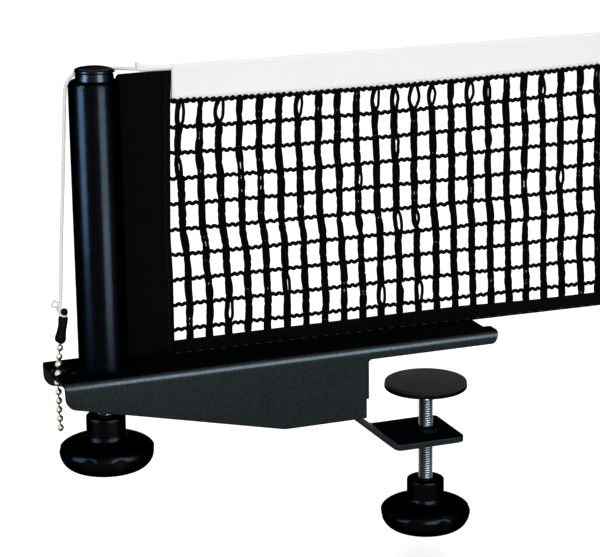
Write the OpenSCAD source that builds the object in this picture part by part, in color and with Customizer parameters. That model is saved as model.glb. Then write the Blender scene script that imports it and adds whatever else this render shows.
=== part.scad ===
// Table tennis net clamp: a steel bracket that grips the side of a table between a lined upper
// jaw and a screwed pressure pad, with the slotted net post, its height screw, and the first
// stretch of the net with its end panel, tape, line and bead chain.
// Millimetres, +Z up. The origin lies on the table top, straight above the clamp screw and in
// the plane of the net. +X runs along the net and over the table.

/* [Net] */
// Height of the net's top edge over the table
net_h = 152.5; // [150:0.5:155]
// Distance between two upright strands
mesh_w = 10.2; // [9.5:0.05:11]
// Distance between two level threads
mesh_h = 12.7; // [12:0.1:13]
// Number of upright strands
mesh_columns = 24; // [10:1:26]
// Height of the white tape along the top
tape_h = 16.8; // [14:0.1:18]
// Thickness of the tape, folded over the line
tape_t = 2.1; // [2.1:0.1:2.4]
// Height of the bottom hem
hem_h = 6.9; // [5:0.1:7]
// Drop of the hem from its near end to its far end
hem_drop = 1.6; // [0:0.1:1.8]
// Width of each black end panel outside the post
panel_w = 27; // [20:0.5:35]
// Thickness of an end panel's doubled cloth
panel_t = 2.4; // [1.6:0.1:2.8]
// Diameter of the rod in each end panel
rod_d = 7.5; // [6:0.1:8]

/* [Bracket] */
// Width of the channel over both webs
bracket_w = 43.5; // [42:0.5:48]
// Thickness of the channel's sheet
sheet_t = 2.5; // [2:0.1:2.8]
// Outer bend radius along the channel's top edges
bend_r = 3.6; // [2.8:0.1:4]
// Height of the flange's top over the table
flange_top = 7; // [6.8:0.1:7.2]
// Distance from the clamp screw to the post
post_reach = 171.7; // [165:0.1:180]
// Distance from the post's axis to the bracket's free end
tail_len = 25.4; // [24:0.1:27]
// Distance from the clamp screw back to the webs' inner edges
web_end = 42; // [40:0.5:44]
// Depth of the webs below the table top, beside the table
web_depth = 30.2; // [29:0.1:33]
// Distance from the clamp screw back to where the webs' lower edges start to rise
kink_back = 86; // [80:1:95]
// Rise of the webs' lower edges for each millimetre towards the free end
web_slope = 0.225; // [0.2:0.005:0.23]
// Length of the flange beyond the clamp screw
flange_end = 27.2; // [25:0.1:29]
// Length of the two prongs beyond the clamp screw
prong_end = 31.2; // [31:0.1:34]

/* [Lower jaw] */
// Depth of the jaw plate's top below the table top
jaw_depth = 48.4; // [46:0.1:52]
// Thickness of the jaw plate
jaw_t = 3; // [2.5:0.1:4]
// Distance from the clamp screw back to the plate's bend
jaw_back = 23.3; // [20:0.1:26]
// Distance from the clamp screw forward to the plate's end
jaw_front = 14.5; // [13:0.1:18]

/* [Post] */
// Outer diameter of the post tube
post_d = 24.4; // [24:0.1:26]
// Wall of the post tube
post_wall = 2; // [1.5:0.1:2.5]
// Height of the tube's top over the table
post_top = 145.3; // [144:0.1:147]
// Width of the slot that the net leaves through
slot_w = 3.4; // [3:0.1:4]

/* [Screws and knobs] */
// Diameter over the screw threads
screw_d = 7.6; // [7:0.1:7.8]
// Diameter of the plain journal at each screw's tip
journal_d = 6; // [5:0.1:6.4]
// Largest diameter of a knob
knob_d = 47; // [45:0.1:50]
// Height of a knob below its hub
knob_h = 14.9; // [14:0.1:18]
// Diameter of a knob's hub
hub_d = 19.5; // [18:0.1:21]
// Height of a knob's hub
hub_h = 11.7; // [10:0.1:13]
// Depth of the height knob's hub top below the table top
height_knob_top = 17.4; // [17:0.1:18]
// Depth of the clamp knob's hub top below the table top
clamp_knob_top = 75.4; // [75:0.1:78]
// Finger hollows round a knob
knob_hollows = 10; // [8:1:12]

/* [Pressure pad] */
// Thickness of the table that the pad stands at
table_t = 22; // [18:0.5:25]
// Diameter of the pressure pad
pad_d = 43; // [38:0.5:43]

/* [Tension line] */
// Diameter of the line
line_d = 1.8; // [1.5:0.1:1.8]
// Diameter of a chain bead
bead_d = 3.2; // [3:0.1:3.3]
// Distance between two chain beads
bead_pitch = 4.45; // [4.4:0.01:4.6]
// Number of chain beads
bead_count = 10; // [6:1:12]

/* [Hidden] */

$fn = 64;
eps = 0.01; // overshoot of a cutting solid
fit_gap = 0.05; // gap to a welded or pressed neighbour
arc_steps = 5; // chords in a rounded corner of an outline

post_x = -post_reach;
post_r = post_d / 2;
bore_r = post_r - post_wall;
inner_half = bracket_w / 2 - sheet_t - fit_gap; // half the width of what is welded between the webs
flange_under = flange_top - sheet_t;
tail_x = post_x - tail_len;
lip_bottom = 0.4; // height of the lips' lower edges over the table

net_bottom = 8.7; // height of the net's lower edge at the post
first_row = net_h - tape_h - 0.2;
first_strand = 4.3; // from the panel to the first upright strand
// Sideways shift of the first strand and of the last one, at each level thread from the top
row_shift_near = [0, -0.7, -1.7, -0.6, -0.5, -0.4, 1.3, 1.8, 2.4, 1.9, 1.8];
row_shift_far = [0, -0.2, 0.9, 0.9, 1, 1.2, 2.3, 2.1, 2.4, 3.1, 3.3];
panel_x = post_x + post_r + panel_w - 1;
far_x = panel_x + first_strand + mesh_w * (mesh_columns - 1) + 5.2;
far_rod_x = far_x + panel_w + rod_d / 2;
near_rod_x = post_x + 5;
rod_foot = 9.6;
rod_top = 142;
panel_top = net_h - 2; // upper edge of both end panels
panel_waist = 80;
mesh_clear = 0.7; // half the width of the fold that the mesh's edges are sewn into
sleeve_r = rod_d / 2 + 1;

screw_r = screw_d / 2;
journal_r = journal_d / 2;
thread_bore_r = screw_r + fit_gap;
journal_bore_r = journal_r + fit_gap;
groove_r = journal_r - 0.6;
screw_in_knob = 16; // length of each screw inside its knob
insert_r = 5.6; // radius of the metal insert in a knob's hub

foot_z = -2; // lower end of the post tube and of its foot plug
foot_h = 8.5;
washer_t = 0.5;
axial_gap = 0.1; // axial play of each screw's shoulder and clip
clip_t = 0.7;
clip_r = 5;
nut_barrel_r = 6;
nut_flange_r = 8;

pad_top = -table_t;
pad_r = pad_d / 2;
face_t = 1.5;
disc_t = 2;
pad_hub_r = 7;
pad_hub_z = pad_top - 8;
clip_floor_z = pad_top - 4;

line_r = line_d / 2;
chain_x = post_x - 22.6;
plate_t = 1; // thickness of the keyhole plate that holds the chain
plate_top = flange_under - fit_gap; // the keyhole plate lies against the flange's underside
chain_notch = 4.5; // half width of the notch that the chain hangs in
rivet_x = 9; // from the bracket's free end
rivet_y = 4;
rivet_r = 1.2;
knot_z = 39.2;
cap_top = 154;
cap_x = post_x + 0.6; // the line's pull holds the cap off the tube's axis
neck_r = 9.2;
groove_neck_r = 8.7;
line_z = net_h - 1.05;
turn_z = 151.65; // height of the line round the cap's neck
turn_r = groove_neck_r + line_d / 2 + 0.1;

steel_black = [0.10, 0.12, 0.15];
plastic_black = [0.04, 0.04, 0.05];
cloth_black = [0.05, 0.05, 0.06];
zinc = [0.72, 0.73, 0.72];
cloth_white = [0.93, 0.93, 0.92];
brass = [0.72, 0.66, 0.50];

// ---- Outlines -------------------------------------------------------------------------------

function unit(v) = v / norm(v);

// Points of the arc of radius r that rounds the corner at b between a and c
function corner(a, b, c, r) =
    r == 0 ? [b] :
    let (
        u = unit(a - b),
        v = unit(c - b),
        half = acos(u * v) / 2,
        start = b + u * r / tan(half),
        centre = b + unit(u + v) * r / sin(half),
        from = atan2(start.y - centre.y, start.x - centre.x),
        turn = (180 - 2 * half) * sign(v.x * u.y - v.y * u.x)
    )
    [for (i = [0:arc_steps]) let (a = from + turn * i / arc_steps) centre + r * [cos(a), sin(a)]];

// Outline through [x, y, corner radius] points
function rounded(path) =
    let (count = len(path), at = [for (p = path) [p[0], p[1]]])
    [
        for (i = [0:count - 1])
            each corner(at[(i + count - 1) % count], at[i], at[(i + 1) % count], path[i][2])
    ];

// A plate standing in the X-Z plane, centred on the net's plane
module upright(width) {
    rotate([90, 0, 0])
        linear_extrude(width, center = true) children();
}

// A block between the webs or anywhere centred on the net's plane
module bar(x0, x1, half, z0, z1) {
    translate([x0, -half, z0])
        cube([x1 - x0, 2 * half, z1 - z0]);
}

module rod(x, z0, z1, r) {
    translate([x, 0, z0])
        cylinder(h = z1 - z0, r = r);
}

module ring(x, z0, z1, outer, inner) {
    translate([x, 0, z0])
        difference() {
            cylinder(h = z1 - z0, r = outer);
            translate([0, 0, -eps])
                cylinder(h = z1 - z0 + 2 * eps, r = inner);
        }
}

// ---- Swept cords ----------------------------------------------------------------------------

function blend_point(p, q, r, s, t) =
    0.5 * (2 * q + (r - p) * t + (2 * p - 5 * q + 4 * r - s) * t * t + (3 * q - p - 3 * r + s) * t * t * t);

// Smooth curve through the route's points, with the given steps between two of them
function smooth(route, steps) =
    let (last = len(route) - 1)
    [
        for (i = [0:last - 1], k = [0:steps - 1])
            blend_point(route[max(i - 1, 0)], route[i], route[i + 1], route[min(i + 2, last)], k / steps),
        route[last]
    ];

function carried(tangents, normal, i = 0) =
    i == len(tangents) ? [] :
    let (n = unit(normal - tangents[i] * (normal * tangents[i])))
    concat([n], carried(tangents, n, i + 1));

// Round cord of radius r along a curve
module cord(curve, r, sides = 8) {
    last = len(curve) - 1;
    tangents = [for (i = [0:last]) unit(curve[min(i + 1, last)] - curve[max(i - 1, 0)])];
    normals = carried(tangents, [0.1, 0.2, 1]);
    points = [
        for (i = [0:last], k = [0:sides - 1])
            curve[i] + r * (cos(360 * k / sides) * normals[i]
                + sin(360 * k / sides) * cross(tangents[i], normals[i]))
    ];
    skin = [
        for (i = [0:last - 1], k = [0:sides - 1])
            let (a = i * sides + k, b = i * sides + (k + 1) % sides)
            each [[a, b + sides, b], [a, a + sides, b + sides]]
    ];
    near_end = [for (k = [1:sides - 2]) [0, k, k + 1]];
    far_end = [for (k = [1:sides - 2]) [last * sides, last * sides + k + 1, last * sides + k]];
    polyhedron(points, concat(skin, near_end, far_end));
}

// ---- Bracket --------------------------------------------------------------------------------

// Cross-section of the channel, with its bends, looking along the net
module channel_section() {
    half = bracket_w / 2;
    difference() {
        union() {
            translate([-half, -web_depth - flange_top])
                square([bracket_w, web_depth + flange_top - bend_r]);
            translate([-half + bend_r, -bend_r])
                square([bracket_w - 2 * bend_r, bend_r]);
            for (side = [-1, 1])
                translate([side * (half - bend_r), -bend_r])
                    circle(bend_r);
        }
        translate([-half + sheet_t, -web_depth - flange_top - eps])
            square([bracket_w - 2 * sheet_t, web_depth + flange_top - sheet_t + eps]);
    }
}

module bracket_side() {
    tail_foot = -web_depth + web_slope * (post_reach + tail_len - kink_back);
    polygon(rounded([
        [tail_x, flange_top + 1, 0],
        [prong_end, flange_top + 1, 0],
        [prong_end, flange_top - 1, 0],
        [prong_end - 1.8, lip_bottom, 3],
        [-web_end + 2.5, lip_bottom, 1.2],
        [-web_end, lip_bottom - 2, 1.2],
        [-web_end, -web_depth, 0.6],
        [-kink_back, -web_depth, 12],
        [tail_x + 0.6, tail_foot, 5.5]
    ]));
}

module bracket() {
    notch_half = 11.5;
    color(steel_black)
        difference() {
            intersection() {
                translate([tail_x, 0, flange_top])
                    rotate([90, 0, 90])
                        linear_extrude(prong_end - tail_x) channel_section();
                upright(bracket_w + 2)
                    bracket_side();
            }
            rod(post_x, 0, flange_top + 1, post_r + fit_gap);
            bar(flange_end, prong_end + 1, notch_half, 0, flange_top + 1);
            bar(tail_x - 1, chain_x, chain_notch, 0, flange_top + 1);
            rod(chain_x, 0, flange_top + 1, chain_notch);
            for (side = [-1, 1])
                translate([tail_x + rivet_x, side * rivet_y, 0])
                    cylinder(h = flange_top + 1, r = rivet_r + fit_gap);
        }
}

// Cranked strip welded between the webs: level tab, sloping arm, level plate under the table
module lower_jaw() {
    tab_back = 75;
    arm_top = 47.8;
    plate_under = -jaw_depth - jaw_t;
    lean = atan2(jaw_depth - web_depth + jaw_t, arm_top - jaw_back);
    shift = jaw_t * tan(lean / 2);
    color(steel_black)
        difference() {
            upright(2 * inner_half)
                polygon(rounded([
                    [-tab_back, -web_depth, 0],
                    [-arm_top - shift, -web_depth, 3],
                    [-jaw_back - shift, plate_under, 8],
                    [jaw_front, plate_under, 0.8],
                    [jaw_front, -jaw_depth, 0.8],
                    [-jaw_back, -jaw_depth, 5],
                    [-arm_top, -web_depth + jaw_t, 5],
                    [-tab_back, -web_depth + jaw_t, 0]
                ]));
            rod(0, plate_under - 1, -jaw_depth + 1, nut_barrel_r + fit_gap);
            for (side = [-1, 1])
                translate([jaw_front, side * inner_half, plate_under - 1])
                    corner_cut(5, jaw_t + 2, side);
        }
}

// What rounds off a plate's corner at the origin, towards -X and the given side of Y
module corner_cut(r, h, side) {
    difference() {
        translate([-r, side > 0 ? -r : -eps, 0])
            cube([r + eps, r + eps, h]);
        translate([-r, -side * r, -eps])
            cylinder(h = h + 2 * eps, r = r);
    }
}

module end_plate() {
    color(steel_black)
        bar(-web_end - 6.5, -web_end - 4, inner_half, -web_depth + jaw_t + 0.1, flange_under - fit_gap);
}

module table_stop() {
    color(plastic_black)
        difference() {
            bar(-web_end - 4 + fit_gap, -web_end + 2.8, inner_half, 1 - table_t, -1);
            for (side = [-1, 1])
                translate([-web_end + 2.8, side * inner_half, -table_t])
                    corner_cut(1.5, table_t, side);
        }
}

module jaw_lining() {
    color(plastic_black)
        difference() {
            bar(3 - web_end, flange_end - 0.4, inner_half, 0, flange_under - fit_gap);
            for (side = [-1, 1])
                translate([flange_end - 0.4, side * inner_half, -1])
                    corner_cut(2, flange_under + 2, side);
        }
}

// Threaded bush: a flange against the plate and a barrel through it
module threaded_bush(flange_z0, flange_z1, barrel_z0, barrel_z1) {
    difference() {
        union() {
            rod(0, flange_z0, flange_z1, nut_flange_r);
            rod(0, barrel_z0, barrel_z1, nut_barrel_r);
        }
        rod(0, barrel_z0 - 20, barrel_z1 + 20, thread_bore_r);
    }
}

module jaw_nut() {
    color(steel_black)
        threaded_bush(-jaw_depth, -jaw_depth + 2.2, -56, -jaw_depth + 1);
}

module bridge_plate() {
    color(steel_black)
        difference() {
            bar(post_x - 10, post_x + 11, inner_half, -8.6, -5.6);
            rod(post_x, -10, 0, nut_barrel_r + fit_gap);
        }
}

module height_nut() {
    color(zinc)
        translate([post_x, 0, 0])
            threaded_bush(-10.6, -8.6, -9, -4.4);
}

module post_guide() {
    color(plastic_black)
        difference() {
            rod(post_x, -4, flange_under - fit_gap, post_r + 2);
            rod(post_x, -5, flange_top, post_r + fit_gap);
        }
}

// ---- Chain and line -------------------------------------------------------------------------

module chain_plate() {
    reach = 10.8;
    half = 6.5;
    neck = 0.8;
    color(steel_black)
        translate([0, 0, plate_top - plate_t])
            difference() {
                linear_extrude(plate_t)
                    polygon(rounded([
                        [tail_x + 0.4, -half, 1], [tail_x + reach, -half, 1],
                        [tail_x + reach, half, 1], [tail_x + 0.4, half, 1]
                    ]));
                bar(tail_x - 1, chain_x, neck, -1, plate_t + 1);
                rod(chain_x, -1, plate_t + 1, neck);
                for (side = [-1, 1])
                    translate([tail_x + rivet_x, side * rivet_y, -1])
                        cylinder(h = plate_t + 2, r = rivet_r + fit_gap);
            }
}

module chain_rivets() {
    head_r = 1.8;
    head_h = 0.6;
    foot = plate_top - plate_t;
    color(steel_black)
        for (side = [-1, 1])
            translate([tail_x + rivet_x, side * rivet_y, 0])
                rotate_extrude()
                    polygon(rounded([
                        [0, foot - head_h, 0], [head_r, foot - head_h, 0.3],
                        [head_r, foot, 0], [rivet_r, foot, 0],
                        [rivet_r, flange_top, 0], [head_r, flange_top, 0],
                        [head_r, flange_top + head_h, 0.4], [0, flange_top + head_h, 0]
                    ]));
}

// Beads hang so that the plate's slot catches the link between the fourth and the fifth
module bead_chain() {
    catch_z = plate_top - plate_t / 2;
    top_z = catch_z + 3.5 * bead_pitch;
    link_r = 0.45;
    color(brass) {
        for (i = [0:bead_count - 1])
            translate([chain_x, 0, top_z - i * bead_pitch])
                sphere(bead_d / 2, $fn = 24);
        rod(chain_x, top_z - (bead_count - 1) * bead_pitch, 21.4, link_r);
    }
}

module chain_toggle() {
    head_r = 1.75;
    color(plastic_black) {
        hull() {
            translate([chain_x + 3.5, 0, 36.8]) sphere(head_r, $fn = 20);
            translate([chain_x + 3.1, 0, 33]) sphere(head_r - 0.2, $fn = 20);
        }
        hull() {
            translate([chain_x + 3, 0, 32.6]) sphere(2.1, $fn = 20);
            translate([chain_x + 1.5, 0, 25.2]) sphere(2.6, $fn = 20);
            translate([chain_x + 1.1, 0, 23]) sphere(1.6, $fn = 20);
        }
    }
}

module line_knot() {
    color(cloth_white) {
        translate([chain_x + 0.9, 0, knot_z]) sphere(1.6, $fn = 24);
        translate([chain_x - 1.1, 0, knot_z + 1.2]) sphere(1.35, $fn = 24);
    }
}

// The line from the cap's neck down to the knot
module tension_line() {
    color(cloth_white)
        cord(smooth([
            [cap_x + turn_r * cos(173), turn_r * sin(173), turn_z],
            [post_x - 11.2, 0.5, 150.2],
            [post_x - 13.3, 0, 147.1],
            [post_x - 14.1, 0, 142.4],
            [post_x - 14.9, 0, 130.5],
            [post_x - 15.8, 0, 116],
            [post_x - 17.2, 0, 94],
            [post_x - 18.8, 0, 72],
            [post_x - 20.3, 0, 51],
            [chain_x + 1.4, 0, knot_z + 1.7]
        ], 3), line_r);
}

// The line inside the tape and its way round the back of the cap's neck
module head_line() {
    tape_end = panel_x - 16.5;
    color(cloth_white) {
        translate([tape_end, 0, line_z])
            rotate([0, 90, 0])
                cylinder(h = far_x - 1 - tape_end, r = line_r, $fn = 24);
        cord(smooth([
            [tape_end + 0.1, 0, line_z],
            [tape_end - 4, 1, line_z + 0.2],
            [tape_end - 10, 4.7, line_z + 0.3],
            for (a = [60:26:164]) [cap_x + turn_r * cos(a), turn_r * sin(a), turn_z]
        ], 4), line_r);
    }
}

// ---- Post -----------------------------------------------------------------------------------

module post_tube() {
    color(steel_black)
        difference() {
            ring(post_x, foot_z, post_top, post_r, bore_r);
            bar(post_x + 5, post_x + post_r + 1, slot_w / 2, net_bottom - 0.4, post_top + 1);
        }
}

module post_foot() {
    color(plastic_black)
        ring(post_x, foot_z, foot_z + foot_h, bore_r - fit_gap, journal_bore_r);
}

// Domed ring on the tube's rim, with a short spigot that is open towards the net
module post_collar() {
    collar_top = post_top + 3.4;
    spigot_r = bore_r - fit_gap;
    color(plastic_black)
        difference() {
            translate([post_x, 0, 0])
                rotate_extrude()
                    polygon(rounded([
                        [0, post_top - 2.6, 0], [spigot_r, post_top - 2.6, 0.3],
                        [spigot_r, post_top, 0], [post_r, post_top, 0.2],
                        [post_r, collar_top, 2.7], [0, collar_top, 0]
                    ]));
            rod(cap_x, post_top - 4, collar_top + 1, neck_r + fit_gap);
            bar(post_x + 4, post_x + post_r + 1, 6, post_top - 3, post_top);
        }
}

module post_cap() {
    color(plastic_black)
        translate([cap_x, 0, 0])
            rotate_extrude()
                polygon(rounded([
                    [0, rod_top + 1, 0], [neck_r, rod_top + 1, 0.5],
                    [neck_r, 150.3, 0.3], [groove_neck_r, 150.5, 0],
                    [groove_neck_r, cap_top - 1.2, 0], [neck_r + 0.3, cap_top - 1, 0.2],
                    [neck_r + 0.3, cap_top, 0.6], [0, cap_top, 0]
                ]));
}

// ---- Net ------------------------------------------------------------------------------------

module near_rod() {
    color(cloth_white)
        rod(near_rod_x, rod_foot, rod_top, rod_d / 2);
}

// Doubled cloth with a sleeve round a rod, its outline given in the X-Z plane
module end_panel(rod_x, z0, z1) {
    difference() {
        union() {
            upright(panel_t)
                children();
            rod(rod_x, z0, z1, sleeve_r);
        }
        rod(rod_x, z0 - 1, z1 + 1, rod_d / 2 + fit_gap);
    }
}

module near_panel() {
    wall_x = post_x + post_r;
    color(cloth_black)
        end_panel(near_rod_x, rod_foot, rod_top)
            polygon([
                [near_rod_x, rod_foot], [wall_x, rod_foot], [wall_x + 1, net_bottom],
                [panel_edge(net_bottom), net_bottom], [panel_edge(panel_waist), panel_waist],
                [panel_edge(panel_top), panel_top], [wall_x + 2.2, panel_top - 0.4],
                [wall_x + 0.3, post_top + 1.2], [wall_x + 0.2, post_top - 0.4],
                [wall_x - 1.4, rod_top], [near_rod_x, rod_top]
            ]);
}

module far_panel() {
    color(cloth_black)
        end_panel(far_rod_x, net_bottom - hem_drop, panel_top)
            polygon([
                [far_x, net_bottom - hem_drop], [far_rod_x, net_bottom - hem_drop],
                [far_rod_x, panel_top], [far_x, panel_top]
            ]);
}

module far_rod() {
    color(cloth_white)
        rod(far_rod_x, net_bottom - hem_drop - 0.5, net_h - 1, rod_d / 2);
}

// The near panel's edge beside the net, drawn in at its waist
function panel_edge(z) =
    panel_x - (z > panel_waist ? 2.3 * (panel_top - z) / (panel_top - panel_waist) : 2.3);

function hem_top(x) = net_bottom + hem_h - hem_drop * (x - panel_x) / (far_x - panel_x);

// Where the upright strand i passes the level thread k
function strand_x(i, k) =
    panel_x + first_strand + mesh_w * i
    + row_shift_near[k] + (row_shift_far[k] - row_shift_near[k]) * i / mesh_columns;

module net_mesh() {
    strand_w = 2.3;
    thread_w = 1.2;
    mesh_t = 1.3;
    rows = 9;
    color(cloth_black)
        upright(mesh_t) {
            for (i = [0:mesh_columns - 1]) {
                nodes = [
                    for (k = [0:rows]) [strand_x(i, k), first_row - k * mesh_h],
                    [strand_x(i, rows + 1), hem_top(strand_x(i, rows + 1)) - 1]
                ];
                polygon(concat(
                    [for (p = nodes) p - [strand_w / 2, 0]],
                    [for (k = [rows + 1:-1:0]) nodes[k] + [strand_w / 2, 0]]
                ));
            }
            for (k = [0:rows])
                let (z = first_row - k * mesh_h, start = panel_edge(z) + 0.1)
                translate([start, z - thread_w / 2])
                    square([far_x - 0.1 - start, thread_w]);
        }
}

// White tape folded over the head line, with a tail along the panel's top edge
module net_tape() {
    tail = 17;
    half = tape_t / 2;
    color(cloth_white)
        difference() {
            union() {
                bar(panel_x + 0.1, far_x - 0.1, half, net_h - tape_h, line_z);
                translate([panel_x + 0.1, 0, line_z])
                    rotate([0, 90, 0])
                        cylinder(h = far_x - panel_x - 0.2, r = half);
                bar(panel_x - tail, panel_x + 1, half, panel_top + fit_gap, net_h + 0.4);
            }
            translate([panel_x - tail - 1, 0, line_z])
                rotate([0, 90, 0])
                    cylinder(h = far_x - panel_x + tail + 2, r = line_r + 0.03, $fn = 24);
            bar(panel_x - 2, far_x, mesh_clear, net_h - tape_h - 1, first_row + 1);
        }
}

module net_hem() {
    hem_t = 2.6;
    start = panel_edge(net_bottom) + 0.1;
    top = hem_top(start);
    color(cloth_black)
        difference() {
            upright(hem_t)
                polygon([
                    [start, net_bottom], [far_x - 0.1, net_bottom - hem_drop],
                    [far_x - 0.1, hem_top(far_x)], [start, top]
                ]);
            upright(2 * mesh_clear)
                polygon([
                    [start - 1, top - 1.2], [far_x, hem_top(far_x) - 1.2],
                    [far_x, hem_top(far_x) + 1], [start - 1, top + 1]
                ]);
        }
}

// ---- Screws and knobs -----------------------------------------------------------------------

// Thread from foot to shoulder, then a journal with a clip groove up to the tip
module shouldered_screw(x, foot, shoulder, tip, groove) {
    color(zinc)
        translate([x, 0, 0])
            rotate_extrude()
                polygon(rounded([
                    [0, foot, 0], [screw_r, foot, 0.5], [screw_r, shoulder, 0.3],
                    [journal_r, shoulder, 0], [journal_r, groove, 0], [groove_r, groove, 0],
                    [groove_r, groove + clip_t + axial_gap, 0], [journal_r, groove + clip_t + axial_gap, 0],
                    [journal_r, tip, 0.4], [0, tip, 0]
                ]));
}

// Spring clip, open on one side, in a screw's groove
module retaining_clip(x, z) {
    color(zinc)
        difference() {
            ring(x, z, z + clip_t, clip_r, groove_r + fit_gap);
            translate([x, -groove_r, z - 1])
                cube([clip_r + 1, 2 * groove_r, clip_t + 2]);
        }
}

module knob_insert(x, top) {
    stand = 0.4;
    color(zinc)
        ring(x, top - hub_h, top + stand, insert_r, screw_r);
}

// Mushroom knob with a straight hub and a body of two quarter ellipses, its rim hollowed for fingers
module mushroom_knob(x, top) {
    body_top = top - hub_h;
    rim_z = body_top - 0.4 * knob_h;
    base_z = body_top - knob_h;
    base_r = 16.2;
    neck_in = hub_d / 2 + 0.8;
    rim_r = knob_d / 2;
    shoulder_h = body_top - 0.6 - rim_z;
    steps = 7;
    hollow_r = 7;
    hollow_depth = 0.9;
    below = [
        for (i = [0:steps]) let (a = 90 * i / steps)
            [base_r + (rim_r - base_r) * sin(a), rim_z - (rim_z - base_z) * cos(a)]
    ];
    above = [
        for (i = [1:steps]) let (a = 90 * i / steps)
            [neck_in + (rim_r - neck_in) * cos(a), rim_z + shoulder_h * sin(a)]
    ];
    color(plastic_black)
        difference() {
            translate([x, 0, 0])
                rotate_extrude()
                    polygon(concat(
                        [[0, base_z + 1.2], [base_r - 3, base_z + 1.2], [base_r - 2, base_z]],
                        below, above,
                        [
                            [hub_d / 2, body_top + 0.4], [hub_d / 2, top - 1],
                            [hub_d / 2 - 0.3, top - 0.3], [hub_d / 2 - 1, top], [0, top]
                        ]
                    ));
            rod(x, top - screw_in_knob, top + 1, screw_r);
            rod(x, top - hub_h, top + 1, insert_r);
            for (i = [0:knob_hollows - 1])
                translate([x, 0, 0])
                    rotate([0, 0, 360 * (i + 0.5) / knob_hollows])
                        translate([rim_r - hollow_depth + hollow_r, 0, base_z - 1])
                            cylinder(h = knob_h + 2, r = hollow_r);
        }
}

module height_screw() {
    shoulder = foot_z - washer_t - axial_gap;
    shouldered_screw(post_x, -height_knob_top - screw_in_knob, shoulder,
        foot_z + foot_h + 2.4, foot_z + foot_h + axial_gap);
}

module height_washer() {
    color(zinc)
        ring(post_x, foot_z - washer_t - axial_gap, foot_z - axial_gap, 6.5, journal_bore_r);
}

module height_clip() {
    retaining_clip(post_x, foot_z + foot_h + axial_gap);
}

module height_insert() {
    knob_insert(post_x, -height_knob_top);
}

module height_knob() {
    mushroom_knob(post_x, -height_knob_top);
}

module clamp_screw() {
    shouldered_screw(0, -clamp_knob_top - screw_in_knob, pad_hub_z - axial_gap,
        clip_floor_z + 1.9, clip_floor_z + axial_gap);
}

module pad_clip() {
    retaining_clip(0, clip_floor_z + axial_gap);
}

module clamp_insert() {
    knob_insert(0, -clamp_knob_top);
}

module clamp_knob() {
    mushroom_knob(0, -clamp_knob_top);
}

// ---- Pressure pad ---------------------------------------------------------------------------

module pad_disc() {
    top = pad_top - face_t;
    color(plastic_black)
        difference() {
            rotate_extrude()
                polygon(rounded([
                    [0, top, 0], [pad_r, top, 0.4], [pad_r, top - disc_t, 0.8],
                    [pad_r - 3, top - disc_t - 0.6, 2], [pad_hub_r + 2, pad_hub_z + 2.6, 2],
                    [pad_hub_r, pad_hub_z, 0.8], [0, pad_hub_z, 0]
                ]));
            rod(0, pad_hub_z - 1, top, journal_bore_r);
            rod(0, clip_floor_z, top + 1, clip_r + 1);
        }
}

module pad_face() {
    color(plastic_black)
        rotate_extrude()
            polygon(rounded([
                [0, pad_top - face_t + eps, 0], [pad_r - 0.2, pad_top - face_t + eps, 0],
                [pad_r - 0.2, pad_top, 0.6], [0, pad_top, 0]
            ]));
}

bracket();
lower_jaw();
end_plate();
table_stop();
jaw_lining();
jaw_nut();
bridge_plate();
height_nut();
post_guide();
chain_plate();
chain_rivets();
bead_chain();
chain_toggle();
line_knot();
tension_line();
post_tube();
post_foot();
post_collar();
post_cap();
near_rod();
near_panel();
net_mesh();
net_tape();
net_hem();
head_line();
far_panel();
far_rod();
height_screw();
height_washer();
height_clip();
height_insert();
height_knob();
pad_disc();
pad_face();
clamp_screw();
pad_clip();
clamp_insert();
clamp_knob();
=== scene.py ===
import math

import bmesh
import bpy
import numpy as np
from mathutils import Matrix, Vector


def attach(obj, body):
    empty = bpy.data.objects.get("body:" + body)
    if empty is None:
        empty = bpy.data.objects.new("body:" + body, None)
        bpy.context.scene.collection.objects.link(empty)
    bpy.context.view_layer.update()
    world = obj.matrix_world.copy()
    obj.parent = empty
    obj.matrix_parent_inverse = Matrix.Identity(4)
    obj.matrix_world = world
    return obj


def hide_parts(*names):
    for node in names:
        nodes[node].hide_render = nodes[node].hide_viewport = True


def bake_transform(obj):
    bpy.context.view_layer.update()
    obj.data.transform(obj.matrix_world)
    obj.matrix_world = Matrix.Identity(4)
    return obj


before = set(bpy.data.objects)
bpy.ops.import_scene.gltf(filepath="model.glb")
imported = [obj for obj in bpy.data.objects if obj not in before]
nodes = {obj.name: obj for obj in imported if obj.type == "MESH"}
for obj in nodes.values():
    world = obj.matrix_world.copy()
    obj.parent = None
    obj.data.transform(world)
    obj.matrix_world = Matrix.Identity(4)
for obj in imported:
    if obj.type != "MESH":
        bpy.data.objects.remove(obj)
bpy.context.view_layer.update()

# ---- Camera ---------------------------------------------------------------------------------
# A long lens from the free side of the net, low over the table and from the post's end. It
# stands about 1.1 m from the clamp.

scene = bpy.context.scene


def placed(name, data):
    """A new object in the scene."""
    made = bpy.data.objects.new(name, data)
    scene.collection.objects.link(made)
    return made


view_right = (0.93336065, -0.35872972, -0.01228311)
view_up = (0.10633096, 0.24364863, 0.96401715)
view_back = (-0.34282884, -0.90108176, 0.26556612)
stand_point = (-0.44790772, -0.99628470, 0.33381580)

camera = placed("camera", bpy.data.cameras.new("camera"))
camera.data.sensor_width, camera.data.lens, camera.data.clip_end = 36, 132.83, 60
camera.matrix_world = Matrix((*zip(view_right, view_up, view_back, stand_point), (0, 0, 0, 1)))
scene.camera = camera

# ---- Net line -------------------------------------------------------------------------------
# One braided white nylon line of 1.8 mm holds the net up. It comes out of the tape's end, turns
# round the back of the cap's neck and runs down outside the post to a knot on the chain's toggle.

mm, cm = 0.001, 0.1  # one millimetre, in the frame's metres and in a flat pattern's centimetres


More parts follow.
